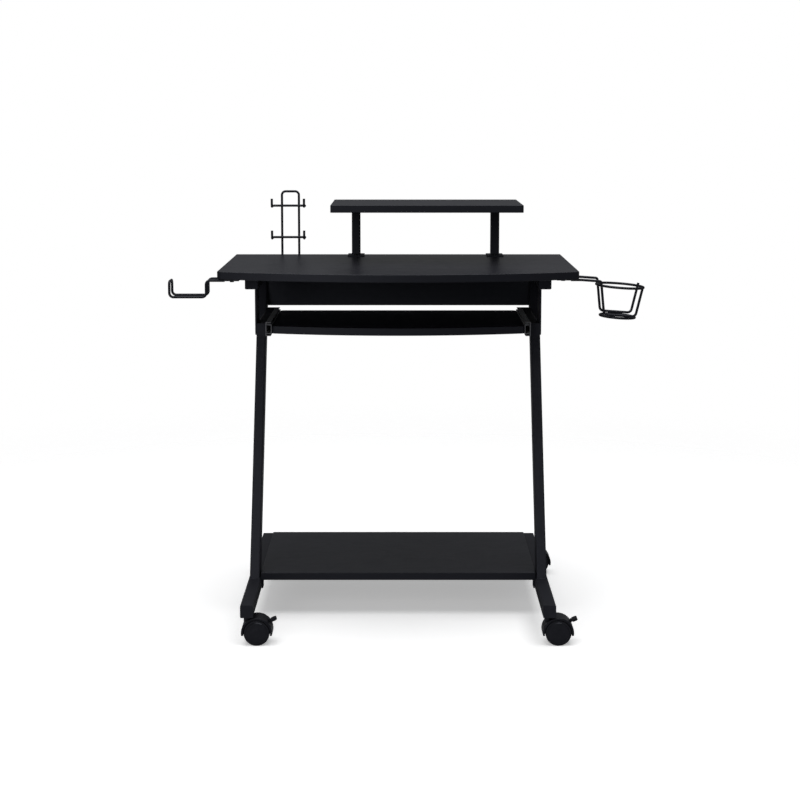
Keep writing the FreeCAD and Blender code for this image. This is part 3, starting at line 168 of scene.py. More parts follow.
def melamine_effect():
    """The pressed paper's print and pores: noise drawn out along X for the wood's grain, finer
    noise for its pores, and a cloudy noise for the print's slow change of tone."""
    tree, entry, leave = effect("melamine print", {"Place": "Vector"}, {"Tone": "Float", "Height": "Float"})
    grain = noise(tree, stretched(tree, entry["Place"], GRAIN_STRETCH), 1.0, 4.0, 0.6)
    pores = noise(tree, stretched(tree, entry["Place"], PORE_STRETCH), 1.0, 2.0, 0.55)
    cloud = noise(tree, entry["Place"], PRINT_CLOUDS, 3.0)
    strands = smooth_step(tree, grain, 0.30, 0.72)
    pits = smooth_step(tree, pores, 0.52, 0.68)
    tone = arithmetic(tree, "MULTIPLY_ADD", cloud, 0.5, arithmetic(tree, "MULTIPLY", strands, 0.5))
    tree.links.new(arithmetic(tree, "MULTIPLY_ADD", pits, -0.25, tone), leave["Tone"])
    depth = arithmetic(tree, "MULTIPLY_ADD", strands, 1 - PORE_SHARE,
                       arithmetic(tree, "MULTIPLY", pits, -PORE_SHARE))
    tree.links.new(arithmetic(tree, "ADD", depth, PORE_SHARE), leave["Height"])
    return tree


def settled_dust_effect():
    """Dust on what faces up: how far the surface's normal leans up, times a blotchy noise and
    a fine speckle."""
    tree, entry, leave = effect("settled dust", {"Place": "Vector"}, {"Dust": "Float"})
    normal = add_node(tree, "NewGeometry").outputs["Normal"]
    up = add_node(tree, "SeparateXYZ", {0: normal}).outputs["Z"]
    facing_up = smooth_step(tree, up, 0.55, 0.98)
    blotches = smooth_step(tree, noise(tree, entry["Place"], DUST_BLOTCHES, 5.0, 0.62), 0.42, 0.74)
    specks = smooth_step(tree, noise(tree, entry["Place"], DUST_SPECKS, 1.0), 0.55, 0.75)
    lying = arithmetic(tree, "MULTIPLY_ADD", specks, 0.6, arithmetic(tree, "MULTIPLY", blotches, 0.4))
    tree.links.new(arithmetic(tree, "MULTIPLY", facing_up, lying), leave["Dust"])
    return tree


def handling_effect():
    """Where hands and cloths have been: smears from a warped noise drawn out along X."""
    tree, entry, leave = effect("handling marks", {"Place": "Vector"}, {"Smears": "Float"})
    bend = noise(tree, entry["Place"], SMEAR_BEND, 2.0)
    offset = add_node(tree, "CombineXYZ", {0: bend, 1: bend, 2: bend}).outputs[0]
    warped = add_node(tree, "VectorMath", {0: entry["Place"], 1: offset}, operation="ADD").outputs[0]
    smears = noise(tree, stretched(tree, warped, SMEAR_STRETCH), 1.0, 5.0, 0.6)
    tree.links.new(smooth_step(tree, smears, 0.40, 0.70), leave["Smears"])
    return tree


def edge_band_effect():
    """Across a board's thickness: the band is where a place lies further inside both faces than
    the arris is deep, and the seam is a fine line at that depth."""
    takes = {"Across": "Float", "Middle": "Float", "Half": "Float"}
    tree, entry, leave = effect("edge band", takes, {"Band": "Float", "Seam": "Float"})
    away = arithmetic(tree, "ABSOLUTE", arithmetic(tree, "SUBTRACT", entry["Across"], entry["Middle"]))
    inside = arithmetic(tree, "SUBTRACT", entry["Half"], away)
    tree.links.new(smooth_step(tree, inside, BOARD_ARRIS * 0.9, BOARD_ARRIS * 1.3), leave["Band"])
    off_seam = arithmetic(tree, "ABSOLUTE", arithmetic(tree, "SUBTRACT", inside, BOARD_ARRIS))
    line = smooth_step(tree, off_seam, SEAM_WIDE / 2, SEAM_WIDE)
    tree.links.new(arithmetic(tree, "SUBTRACT", 1.0, line), leave["Seam"])
    return tree


melamine_print = melamine_effect()
settled_dust = settled_dust_effect()
handling_marks = handling_effect()
edge_band = edge_band_effect()


def board_finish(name, thin_axis, sheen, dust):
    """Melamine faces with a banded edge, for a board that is thin along one axis."""
    low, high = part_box(name)
    axis = "XYZ".index(thin_axis)
    material, tree, shader, place = new_material(name + " melamine")
    across = add_node(tree, "SeparateXYZ", {0: place}).outputs[thin_axis]
    printed = use_effect(tree, melamine_print, {"Place": place})
    band = use_effect(tree, edge_band, {"Across": across, "Middle": (low[axis] + high[axis]) / 2,
                                        "Half": (high[axis] - low[axis]) / 2})
    smears = use_effect(tree, handling_marks, {"Place": place})["Smears"]
    lying = use_effect(tree, settled_dust, {"Place": place})["Dust"]
    colour = blended(tree, printed["Tone"], MELAMINE_DARK, MELAMINE_LIGHT)
    colour = blended(tree, band["Band"], colour, EDGE_BAND)
    colour = blended(tree, band["Seam"], colour, SEAM)
    colour = blended(tree, arithmetic(tree, "MULTIPLY", lying, dust), colour, DUST)
    rough = between(tree, printed["Tone"], sheen - 0.03, sheen + 0.05)
    rough = arithmetic(tree, "MULTIPLY_ADD", smears, 0.03, rough)
    rough = arithmetic(tree, "MULTIPLY_ADD", band["Band"], 0.08, rough)
    rough = arithmetic(tree, "MULTIPLY_ADD", lying, 0.3 * dust, rough)
    smooth_band = arithmetic(tree, "SUBTRACT", 1.0, arithmetic(tree, "MULTIPLY", band["Band"], 0.8))
    height = arithmetic(tree, "MULTIPLY", printed["Height"], smooth_band)
    set_shader(tree, shader, Base_Color=colour, Roughness=rough, Specular_IOR_Level=0.30,
               Specular_Tint=COOL_SHEEN, Normal=relief(tree, height, PRINT_DEPTH))
    return material


def finish_in(material, *names):
    """Give CAD nodes their finish, in every material slot that they have."""
    for name in names:
        piece = nodes[name]
        if not piece.material_slots:
            piece.data.materials.append(material)
        for held in piece.material_slots:
            held.material = material


for board, thin_axis, sheen, dust in (
        ("desktop", "Z", 0.34, 0.012), ("monitor_shelf", "Z", 0.36, 0.012),
        ("keyboard_tray", "Z", 0.38, 0.01), ("bottom_shelf", "Z", 0.38, 0.02),
        ("back_panel", "Y", 0.40, 0.01)):
    finish_in(board_finish(board, thin_axis, sheen, dust), board)


# ---- Side frames and brackets ----------------------------------------------------------
# The feet, legs, beams, arms and posts are thin-walled steel tube, cut, welded and then
# powder coated together. The coat has a fine orange peel, is thin on the arrises and has
# small scuffs low down, where shoes and vacuum cleaners reach.

POWDER_DARK = (0.0068, 0.0069, 0.0096, 1)
POWDER_LIGHT = (0.0104, 0.0106, 0.0142, 1)
SCUFF = (0.040, 0.040, 0.041, 1)
PEEL_CELLS = 950.0
PEEL_TOOTH = 2600.0
PEEL_CLOUDS = 22.0
PEEL_DEPTH = 0.00006
SCUFF_STRETCH = (260, 60, 420)
SCUFF_PATCHES = 38.0
SHELVES_TO_CLEAR = 3


def nodes_finished_in(slot):
    """The CAD nodes that the record gives one material slot."""
    return [piece["node"] for piece in frame["record"]["subparts"] if piece["material_slot"] == slot]


def orange_peel_effect():
    """Baked powder: soft cells a millimetre across for the peel, a finer noise for its tooth,
    and a cloudy noise for tone."""
    tree, entry, leave = effect("orange peel", {"Place": "Vector"}, {"Tone": "Float", "Height": "Float"})
    cells = add_node(tree, "TexVoronoi", {"Vector": entry["Place"], "Scale": PEEL_CELLS, "Smoothness": 0.8},
                     feature="SMOOTH_F1").outputs["Distance"]
    tooth = noise(tree, entry["Place"], PEEL_TOOTH, 2.0)
    cloud = noise(tree, entry["Place"], PEEL_CLOUDS, 4.0, 0.6)
    tree.links.new(arithmetic(tree, "MULTIPLY_ADD", tooth, 0.35, cells), leave["Height"])
    tone = arithmetic(tree, "MULTIPLY_ADD", tooth, 0.3, arithmetic(tree, "MULTIPLY", cloud, 0.7))
    tree.links.new(smooth_step(tree, tone, 0.3, 0.7), leave["Tone"])
    return tree


def scuff_effect():
    """Rubbed marks: thin streaks of a warped noise, only where a blotchy noise is high, and
    fading out between the heights Clear and Worn."""
    takes = {"Place": "Vector", "Clear": "Float", "Worn": "Float"}
    tree, entry, leave = effect("scuffs", takes, {"Scuff": "Float"})
    streaks = noise(tree, stretched(tree, entry["Place"], SCUFF_STRETCH), 1.0, 3.0, 0.6)
    patches = noise(tree, entry["Place"], SCUFF_PATCHES, 2.0)
    height = add_node(tree, "SeparateXYZ", {0: entry["Place"]}).outputs["Z"]
    low = add_node(tree, "MapRange", {"Value": height, "From Min": entry["Clear"],
                                      "From Max": entry["Worn"]}).outputs[0]
    marks = arithmetic(tree, "MULTIPLY", smooth_step(tree, streaks, 0.60, 0.70),
                       smooth_step(tree, patches, 0.52, 0.66))
    tree.links.new(arithmetic(tree, "MULTIPLY", marks, low), leave["Scuff"])
    return tree


orange_peel = orange_peel_effect()
scuffs = scuff_effect()


def powder_coat(name, rough, wear, dust):
    """Black powder coat with its peel, scuffs near the floor and settled dust."""
    material, tree, shader, place = new_material(name)
    peel = use_effect(tree, orange_peel, {"Place": place})
    clear_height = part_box("bottom_shelf")[1].z * SHELVES_TO_CLEAR
    rubbed = use_effect(tree, scuffs, {"Place": place, "Clear": clear_height, "Worn": 0.0})["Scuff"]
    lying = use_effect(tree, settled_dust, {"Place": place})["Dust"]
    colour = blended(tree, peel["Tone"], POWDER_DARK, POWDER_LIGHT)
    colour = blended(tree, arithmetic(tree, "MULTIPLY", rubbed, wear), colour, SCUFF)
    colour = blended(tree, arithmetic(tree, "MULTIPLY", lying, dust), colour, DUST)
    roughness = between(tree, peel["Tone"], rough - 0.04, rough + 0.06)
    roughness = arithmetic(tree, "MULTIPLY_ADD", rubbed, 0.2 * wear, roughness)
    set_shader(tree, shader, Base_Color=colour, Roughness=roughness, Specular_IOR_Level=0.28,
               Specular_Tint=COOL_SHEEN, Normal=relief(tree, peel["Height"], PEEL_DEPTH, 0.6))
    return material


frame_coat = powder_coat("black powder coat", 0.54, 0.35, 0.02)
finish_in(frame_coat, *nodes_finished_in("painted_steel"))


# ---- Weld beads ------------------------------------------------------------------------
# Each tube joint is closed by a MIG bead before the powder goes on: round the legs' ends,
# along the drop plates and arms, and round the monitor shelf's posts. A bead is a row of
# overlapping puddles, so it swells and thins evenly along its run.

BEAD_RADIUS = 0.0014
BEAD_PITCH = 0.0022
BEAD_SIDES = 10
BEAD_STEP = 0.00055
BEAD_RIPPLE = 0.1
POST_BEAD = 0.8
TUBE_ROUND = 0.0025
LEG_DEEP = 0.043
PLATE_CORNER = 0.004
ARM_CLEAR = 0.008
ARM_ROUND = 0.003


def along_line(start, end):
    """Evenly spaced points from start to end."""
    start, end = np.array(start, float), np.array(end, float)
    count = max(4, int(np.linalg.norm(end - start) / BEAD_STEP) + 1)
    return start + (end - start) * np.linspace(0, 1, count)[:, None]


def round_rectangle(centre, half_x, half_y, radius):
    """A closed level path: the distance run is shared out over four straight sides and four
    quarter turns, and each point is a corner's centre plus the radius at that turn's angle."""
    flat = np.array((half_x - radius, half_y - radius))
    quarter = np.linspace(0, math.pi / 2, 7)
    points = []
    for turn, (across, ahead) in enumerate(((1, 1), (-1, 1), (-1, -1), (1, -1))):
        angle = quarter + turn * math.pi / 2
        corner = flat * (across, ahead)
        points.append(corner + radius * np.stack((np.cos(angle), np.sin(angle)), axis=1))
    outline = np.concatenate(points + [points[0][:1]])
    run = np.concatenate(([0], np.cumsum(np.linalg.norm(np.diff(outline, axis=0), axis=1))))
    where = np.linspace(0, run[-1], int(run[-1] / BEAD_STEP) + 1)[:-1]
    level = np.stack([np.interp(where, run, outline[:, axis]) for axis in (0, 1)], axis=1)
    return np.column_stack((level, np.zeros(len(level)))) + np.array(centre, float)


def bead(path, closed, plane_normal=(0, 0, 1), radius=BEAD_RADIUS):
    """A circle carried along a path in one plane. Its radius is the bead's, plus the ripple's
    share of it times the cosine of the distance run over the pitch, and it shrinks to a dome
    at an open end."""
    normal = np.array(plane_normal, float)
    if closed:
        ahead = np.roll(path, -1, axis=0) - np.roll(path, 1, axis=0)
    else:
        ahead = np.gradient(path, axis=0)
    ahead /= np.linalg.norm(ahead, axis=1)[:, None]
    side = np.cross(ahead, normal)
    side /= np.linalg.norm(side, axis=1)[:, None]
    lift = np.cross(side, ahead)
    run = np.arange(len(path)) * np.linalg.norm(path[1] - path[0])
    size = radius * (1 + BEAD_RIPPLE * np.cos(2 * math.pi * run / BEAD_PITCH))
    if not closed:
        to_end = np.minimum(run, run[-1] - run) / radius
        size *= np.sqrt(np.clip(1 - (1 - np.clip(to_end, 0.02, 1)) ** 2, 0, 1))
    angle = np.linspace(0, 2 * math.pi, BEAD_SIDES, endpoint=False)
    ring = np.cos(angle)[None, :, None] * side[:, None] + np.sin(angle)[None, :, None] * lift[:, None]
    return path[:, None] + size[:, None, None] * ring


def grid_faces(rows, columns, closed, first):
    """Four-sided faces of a grid whose columns close on themselves, and whose rows do too if
    closed. Open ends get one many-sided face each. Points are numbered from first."""
    down = np.arange(rows if closed else rows - 1)[:, None]
    across = np.arange(columns)[None, :]
    below = (down + 1) % rows
    beside = (across + 1) % columns
    corners = (down * columns + across, down * columns + beside,
               below * columns + beside, below * columns + across)
    spread = [np.broadcast_to(corner, (down.size, columns)) for corner in corners]
    faces = np.stack(spread, axis=-1) + first
    listed = faces.reshape(-1, 4)[:, ::-1].tolist()
    if not closed:
        listed.append(list(range(first, first + columns)))
        listed.append(list(range(first + rows * columns - 1, first + (rows - 1) * columns - 1, -1)))
    return listed


def surface_piece(name, grids, material, body):
    """One object made of several grids of points, each (points, closed), put on a CAD body."""
    places = []
    faces = []
    for points, closed in grids:
        faces += grid_faces(points.shape[0], points.shape[1], closed, sum(map(len, places)))
        places.append(points.reshape(-1, 3))
    mesh = bpy.data.meshes.new(name)
    mesh.from_pydata(np.concatenate(places).tolist(), [], faces)
    mesh.polygons.foreach_set("use_smooth", np.ones(len(mesh.polygons), bool))
    mesh.materials.append(material)
    piece = bpy.data.objects.new(name, mesh)
    bpy.context.scene.collection.objects.link(piece)
    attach(piece, body)


def leg_line(low, high, height, behind_front):
    """A place on a leaning leg's front edge, or that far behind it, at a height."""
    lean = (high.y - LEG_DEEP - low.y) / (high.z - low.z)
    return low.y + lean * (height - low.z) + behind_front


for side_name, inward in (("left", 1), ("right", -1)):
    leg_low, leg_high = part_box("leg_tube_" + side_name)
    arm_low, arm_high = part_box("slide_arm_" + side_name)
    plate_low, plate_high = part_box("drop_plate_" + side_name)
    leg_x = (leg_low.x + leg_high.x) / 2
    half_wide = (leg_high.x - leg_low.x) / 2
    half_deep = LEG_DEEP / 2
    inner_face = leg_x + inward * half_wide
    beads = []
    for height in (leg_low.z, leg_high.z):
        centre_y = leg_line(leg_low, leg_high, height, half_deep)
        path = round_rectangle((leg_x, centre_y, height), half_wide, half_deep, TUBE_ROUND)
        beads.append((bead(path, True), True))
    plate_side = plate_high.x if inward > 0 else plate_low.x
    for across, ends, height in (
            (plate_side, (plate_low.y + PLATE_CORNER, plate_high.y - PLATE_CORNER), plate_high.z),
            (inner_face, (arm_low.y + ARM_CLEAR, plate_high.y - PLATE_CORNER), arm_high.z)):
        path = along_line((across, ends[0], height), (across, ends[1], height))
        beads.append((bead(path, False), False))
    for behind in (0, LEG_DEEP):
        low_end = arm_low.z + ARM_ROUND
        high_end = arm_high.z - ARM_ROUND
        path = along_line((inner_face, leg_line(leg_low, leg_high, low_end, behind), low_end),
                          (inner_face, leg_line(leg_low, leg_high, high_end, behind), high_end))
        beads.append((bead(path, False, (1, 0, 0)), False))
    surface_piece("frame_welds_" + side_name, beads, frame_coat, "frame")

post_beads = []
for side_name in ("left", "right"):
    post_low, post_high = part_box("riser_post_" + side_name)
    middle = (post_low + post_high) / 2
    half = (post_high - post_low) / 2
    for height in (post_low.z, post_high.z):
        path = round_rectangle((middle.x, middle.y, height), half.x, half.y, TUBE_ROUND)
        post_beads.append((bead(path, True, radius=BEAD_RADIUS * POST_BEAD), True))
surface_piece("riser_post_welds", post_beads, frame_coat, "frame")


# ---- Wire holders ----------------------------------------------------------------------
# The controller rack, headphone hook and cup holder are 5 mm steel wire, bent cold and
# coated a smooth satin black. Crossing wires are resistance welded: each crossing has a
# small squeezed nugget between the two wires.

WIRE_RADIUS = 0.0025
NUGGET = (0.0023, 0.0023, 0.0021)
RACK_HOOK_RISE = 0.017
CUP_RING = 0.046
CUP_FOOT_RING = 0.034
CUP_STRUT_APART = 0.032
CUP_DROOP = math.radians(4)
WIRE_PEEL = (0.6, 0.6, 0.6)
WIRE_RELIEF = 0.00001
POLE_GAP = 0.12
WIRE_DARK = (0.0040, 0.0041, 0.0056, 1)
WIRE_LIGHT = (0.0062, 0.0063, 0.0082, 1)


def wire_coat():
    """Satin black on drawn wire: smoother than the frame's coat, with a faint ripple left by
    the wire's drawing and by the bends."""
    material, tree, shader, place = new_material("black wire coat")
    peel = use_effect(tree, orange_peel, {"Place": stretched(tree, place, WIRE_PEEL)})
    lying = use_effect(tree, settled_dust, {"Place": place})["Dust"]
    colour = blended(tree, peel["Tone"], WIRE_DARK, WIRE_LIGHT)
    colour = blended(tree, arithmetic(tree, "MULTIPLY", lying, 0.015), colour, DUST)
    set_shader(tree, shader, Base_Color=colour, Roughness=between(tree, peel["Tone"], 0.40, 0.46),
               Specular_IOR_Level=0.25, Specular_Tint=COOL_SHEEN,
               Normal=relief(tree, peel["Height"], WIRE_RELIEF, 0.1))
    return material


def nugget(centre):
    """An egg shape: each ring's height is the cosine of its angle from the pole and its width
    the sine, with each axis scaled by its own radius. The end rings close near the poles."""
    down = np.linspace(POLE_GAP, math.pi - POLE_GAP, 9)[:, None]
    round_axis = np.linspace(0, 2 * math.pi, 12, endpoint=False)[None, :]
    shape = np.stack((np.sin(down) * np.cos(round_axis), np.sin(down) * np.sin(round_axis),
                      np.cos(down) * np.ones_like(round_axis)), axis=-1)
    return np.array(centre, float) + shape * np.array(NUGGET)


satin_wire = wire_coat()
finish_in(satin_wire, *nodes_finished_in("coated_wire"))

hoop_low, hoop_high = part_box("controller_rack_hoop")
hooks_low, hooks_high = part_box("controller_rack_hooks")
bar_heights = (hooks_low.z + WIRE_RADIUS, hooks_high.z - RACK_HOOK_RISE)
rack_nuggets = []
for across in (hoop_low.x + WIRE_RADIUS, hoop_high.x - WIRE_RADIUS):
    for height in bar_heights:
        rack_nuggets.append((nugget((across, hooks_high.y, height)), False))
surface_piece("controller_rack_welds", rack_nuggets, satin_wire, "frame")

# The cup holder droops towards its outer side, so its rings are level only along Y.
rings_low, rings_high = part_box("cup_holder_rings")
ring_y = (rings_low.y + rings_high.y) / 2
ring_x = rings_high.x - CUP_RING * math.cos(CUP_DROOP) - WIRE_RADIUS
ring_z = rings_high.z - CUP_RING * math.sin(CUP_DROOP) - WIRE_RADIUS
foot_z = rings_low.z + CUP_FOOT_RING * math.sin(CUP_DROOP) + WIRE_RADIUS
foot_x = ring_x - (ring_z - foot_z) * math.tan(CUP_DROOP)
foot_along = math.sqrt(CUP_FOOT_RING ** 2 - CUP_STRUT_APART ** 2)
strut_away = CUP_RING + 2 * WIRE_RADIUS
strut_along = math.sqrt(strut_away ** 2 - CUP_STRUT_APART ** 2)
cup_nuggets = []
for ahead in (-1, 1):
    for outward in (-1, 1):
        reach = (strut_away - WIRE_RADIUS) / strut_away
        along = outward * strut_along * reach
        spot = (ring_x + along * math.cos(CUP_DROOP), ring_y + ahead * CUP_STRUT_APART * reach,
                ring_z - along * math.sin(CUP_DROOP))
        cup_nuggets.append((nugget(spot), False))
        along = outward * foot_along
        spot = (foot_x + along, ring_y + ahead * CUP_STRUT_APART,
                foot_z + WIRE_RADIUS - along * math.sin(CUP_DROOP))
        cup_nuggets.append((nugget(spot), False))
surface_piece("cup_holder_welds", cup_nuggets, satin_wire, "frame")


# ---- Keyboard slides -------------------------------------------------------------------
# Outer and inner rails are rolled from zinc-plated strip, so they carry fine roll lines
# along their length and a faint yellow bloom. The cages are plain pressed steel, and the
# balls are polished bearing balls under a film of grease.

ZINC_DARK = (0.36, 0.37, 0.39, 1)
ZINC_LIGHT = (0.60, 0.61, 0.62, 1)
ZINC_BLOOM = (0.55, 0.52, 0.42, 1)
# Colour of the painted shade on the ends of the slides' rails and cages.
END_FACE_SHADE = (0.10, 0.10, 0.11, 1)
CAGE_DARK = (0.22, 0.22, 0.23, 1)
CAGE_LIGHT = (0.34, 0.34, 0.35, 1)
ROLL_STRETCH = (2600, 9, 2600)
ROLL_DEPTH = 0.00002
STRIP_BLOTCHES = 55.0
GREASE_PATCHES = 700.0
BALL_STEEL = (0.60, 0.60, 0.61, 1)
GREASE = (0.34, 0.31, 0.24, 1)


def rolled_strip(name, dark, light, bloom_amount, rough):
    """Bare or plated strip: roll lines as noise drawn out along Y, a blotchy bloom, and painted
    shade: the faces square to Y, the strip's ends, are darkened towards a near-black metal."""
    material, tree, shader, place = new_material(name)
    normal = add_node(tree, "NewGeometry").outputs["Normal"]
    along = arithmetic(tree, "ABSOLUTE", add_node(tree, "SeparateXYZ", {0: normal}).outputs["Y"])
    # Painted shade mask: faces square to Y, the strip's ends.
    painted_end_shade = smooth_step(tree, along, 0.90, 0.98)
    lines = noise(tree, stretched(tree, place, ROLL_STRETCH), 1.0, 3.0, 0.6)
    blotches = smooth_step(tree, noise(tree, place, STRIP_BLOTCHES, 4.0, 0.6), 0.45, 0.72)
    colour = blended(tree, smooth_step(tree, lines, 0.35, 0.65), dark, light)
    colour = blended(tree, arithmetic(tree, "MULTIPLY", blotches, bloom_amount), colour, ZINC_BLOOM)
    # Painted shade: the ends of the rails and cages are darkened towards a near-black metal.
    colour = blended(tree, arithmetic(tree, "MULTIPLY", painted_end_shade, 0.8), colour, END_FACE_SHADE)
    roughness = between(tree, lines, rough - 0.06, rough + 0.08)
    roughness = arithmetic(tree, "MULTIPLY_ADD", blotches, 0.12, roughness)
    set_shader(tree, shader, Base_Color=colour, Metallic=1.0, Roughness=roughness,
               Normal=relief(tree, lines, ROLL_DEPTH, 0.6))
    return material


def greased_balls():
    """Polished balls, duller and yellower where grease has gathered."""
    material, tree, shader, place = new_material("bearing balls")
    film = smooth_step(tree, noise(tree, place, GREASE_PATCHES, 3.0), 0.42, 0.62)
    set_shader(tree, shader, Base_Color=blended(tree, film, BALL_STEEL, GREASE), Metallic=1.0,
               Roughness=between(tree, film, 0.10, 0.34))
    return material


finish_in(rolled_strip("zinc plated strip", ZINC_DARK, ZINC_LIGHT, 0.25, 0.46),
          *nodes_finished_in("slide_steel"))
finish_in(rolled_strip("pressed steel cage", CAGE_DARK, CAGE_LIGHT, 0.2, 0.42),
          *nodes_finished_in("cage_steel"))
finish_in(greased_balls(), *nodes_finished_in("bearing_steel"))


# ---- Screws and bolts ------------------------------------------------------------------
# Cold-headed steel screws. Those that show are blackened, with bright metal where the
# driver has rubbed their sockets; those of the slides and casters are zinc plated.

BLACK_OXIDE = (0.012, 0.012, 0.013, 1)
RUBBED_STEEL = (0.16, 0.155, 0.15, 1)
PLATING_TOOTH = 1800.0
PLATING_DEPTH = 0.00002
RUBBED_SPECKS = 420.0


def fastener(name, skin, worn, wear, rough):
    """A small plated part: a fine tooth, and wear from a speckled noise."""
    material, tree, shader, place = new_material(name)
    tooth = noise(tree, place, PLATING_TOOTH, 3.0, 0.6)
    rubbed = smooth_step(tree, noise(tree, place, RUBBED_SPECKS, 4.0, 0.65), 0.52, 0.66)
    colour = blended(tree, arithmetic(tree, "MULTIPLY", rubbed, wear), skin, worn)
    set_shader(tree, shader, Base_Color=colour, Metallic=1.0,
               Roughness=arithmetic(tree, "MULTIPLY_ADD", tooth, 0.25, rough),
               Normal=relief(tree, tooth, PLATING_DEPTH, 0.5))
    return material


finish_in(fastener("black oxide screws", BLACK_OXIDE, RUBBED_STEEL, 0.35, 0.30),
          *nodes_finished_in("black_screws"))
finish_in(fastener("zinc screws", ZINC_LIGHT, ZINC_BLOOM, 0.5, 0.22),
          *nodes_finished_in("zinc_screws"))


# ---- Caps, hoods and brake levers ------------------------------------------------------
# The tubes' end plugs, the casters' hoods and the brake levers are injection-moulded
# polypropylene. The mould is spark eroded, so the skin has a fine even texture and a low
# sheen, a little brighter where feet rub the levers.

HOOD_DARK = (0.0048, 0.0048, 0.0068, 1)
HOOD_LIGHT = (0.0074, 0.0074, 0.0100, 1)
PLUG_DARK = (0.0088, 0.0089, 0.0120, 1)
PLUG_LIGHT = (0.0125, 0.0126, 0.0166, 1)
SPARK_PITS = 3200.0
PIT_DEPTH = 0.00004
FLOW_MARKS = 60.0
SHOE_HEIGHT = 0.16


def moulded_skin(name, dark, light, rough, wear):
    """Spark-eroded texture: a grainy noise for its pits, with cloudy flow marks in the tone."""
    material, tree, shader, place = new_material(name)
    pits = noise(tree, place, SPARK_PITS, 2.0, 0.7)
    flow = smooth_step(tree, noise(tree, place, FLOW_MARKS, 4.0), 0.35, 0.68)
    rubbed = use_effect(tree, scuffs, {"Place": place, "Clear": SHOE_HEIGHT, "Worn": 0.0})["Scuff"]
    lying = use_effect(tree, settled_dust, {"Place": place})["Dust"]
    colour = blended(tree, flow, dark, light)
    colour = blended(tree, arithmetic(tree, "MULTIPLY", rubbed, wear), colour, SCUFF)
    colour = blended(tree, arithmetic(tree, "MULTIPLY", lying, 0.02), colour, DUST)
    roughness = arithmetic(tree, "MULTIPLY_ADD", pits, 0.12, rough)
    set_shader(tree, shader, Base_Color=colour,
               Roughness=arithmetic(tree, "MULTIPLY_ADD", rubbed, 0.15, roughness),
               Specular_IOR_Level=0.24, Specular_Tint=COOL_SHEEN,
               Normal=relief(tree, pits, PIT_DEPTH, 0.5))
    return material


finish_in(moulded_skin("moulded hoods", HOOD_DARK, HOOD_LIGHT, 0.34, 0.3),
          *nodes_finished_in("moulded_plastic"))
finish_in(moulded_skin("moulded end plugs", PLUG_DARK, PLUG_LIGHT, 0.42, 0.3), "tube_end_caps")


# ---- Wheels ----------------------------------------------------------------------------
# Each wheel is moulded nylon, turned true on its tread. The domed face keeps the mould's
# rings, and the tread is dulled by floor dust pressed into a narrow running band.

NYLON_DARK = (0.0040, 0.0040, 0.0055, 1)
NYLON_LIGHT = (0.0062, 0.0062, 0.0082, 1)
FLOOR_DIRT = (0.030, 0.029, 0.028, 1)
TREAD_DEEP = 0.0012
RING_PITCH = 0.0016
RING_DEPTH = 0.00003
DIRT_BLOTCHES = 260.0
NYLON_CLOUDS = 90.0
NYLON_TOOTH = 2400.0


def running_wear_effect():
    """Round an axle along Y: the distance from it gives the face's moulded rings, as a sine of
    that distance, and the band of dirt on the tread, within a little of the full radius."""
    takes = {"Place": "Vector", "Axle": "Vector", "Radius": "Float"}
    tree, entry, leave = effect("running wear", takes, {"Rings": "Float", "Dirt": "Float"})
    away = add_node(tree, "VectorMath", {0: entry["Place"], 1: entry["Axle"]},
                    operation="SUBTRACT").outputs[0]
    flat = stretched(tree, away, (1, 0, 1))
    distance = add_node(tree, "VectorMath", {0: flat}, operation="LENGTH").outputs["Value"]
    wave = arithmetic(tree, "SINE", arithmetic(tree, "MULTIPLY", distance, 2 * math.pi / RING_PITCH))
    tree.links.new(arithmetic(tree, "MULTIPLY_ADD", wave, 0.5, 0.5), leave["Rings"])
    inside = arithmetic(tree, "SUBTRACT", entry["Radius"], distance)
    tread = arithmetic(tree, "SUBTRACT", 1.0, smooth_step(tree, inside, TREAD_DEEP / 3, TREAD_DEEP))
    picked_up = smooth_step(tree, noise(tree, entry["Place"], DIRT_BLOTCHES, 5.0, 0.65), 0.40, 0.68)
    tree.links.new(arithmetic(tree, "MULTIPLY", tread, picked_up), leave["Dirt"])
    return tree


running_wear = running_wear_effect()


def wheel_nylon(name):
    """Nylon about one wheel's own axle."""
    low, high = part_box(name)
    material, tree, shader, place = new_material(name + " nylon")
    worn = use_effect(tree, running_wear, {"Place": place, "Axle": tuple((low + high) / 2),
                                           "Radius": (high.z - low.z) / 2})
    cloud = smooth_step(tree, noise(tree, place, NYLON_CLOUDS, 3.0), 0.35, 0.65)
    colour = blended(tree, cloud, NYLON_DARK, NYLON_LIGHT)
    colour = blended(tree, arithmetic(tree, "MULTIPLY", worn["Dirt"], 0.55), colour, FLOOR_DIRT)
    roughness = arithmetic(tree, "MULTIPLY_ADD", worn["Dirt"], 0.35, between(tree, cloud, 0.28, 0.36))
    fine = noise(tree, place, NYLON_TOOTH, 2.0)
    height = arithmetic(tree, "MULTIPLY_ADD", fine, 0.5, worn["Rings"])
    set_shader(tree, shader, Base_Color=colour, Roughness=roughness, Specular_IOR_Level=0.30,
               Specular_Tint=COOL_SHEEN, Normal=relief(tree, height, RING_DEPTH, 0.6))
    return material


for wheel in nodes_finished_in("wheel_nylon"):
    finish_in(wheel_nylon(wheel), wheel)


# ---- Studio ----------------------------------------------------------------------------
# A matt white floor that fades into a white room, one broad soft box overhead and a weak
# one in front. The room is white to look at, but dim in what it sheds on the desk, so that
# the black finishes keep their depth at a low angle.

FLOOR_RADIUS = 9.0
FLOOR_SOLID = 0.6
FLOOR_CLEAR = 2.4
FLOOR_WHITE = (0.92, 0.92, 0.92, 1)
FLOOR_SHED = (0.45, 0.45, 0.46, 1)
FLOOR_LIFT = 0.38
FLOOR_GRAIN = 40.0
ROOM_WHITE = (1.0, 1.0, 1.0, 1)
ROOM_SHED = (0.95, 0.97, 1.0, 1)
ROOM_SEEN_STRENGTH = 1.0
ROOM_SHED_STRENGTH = 0.17


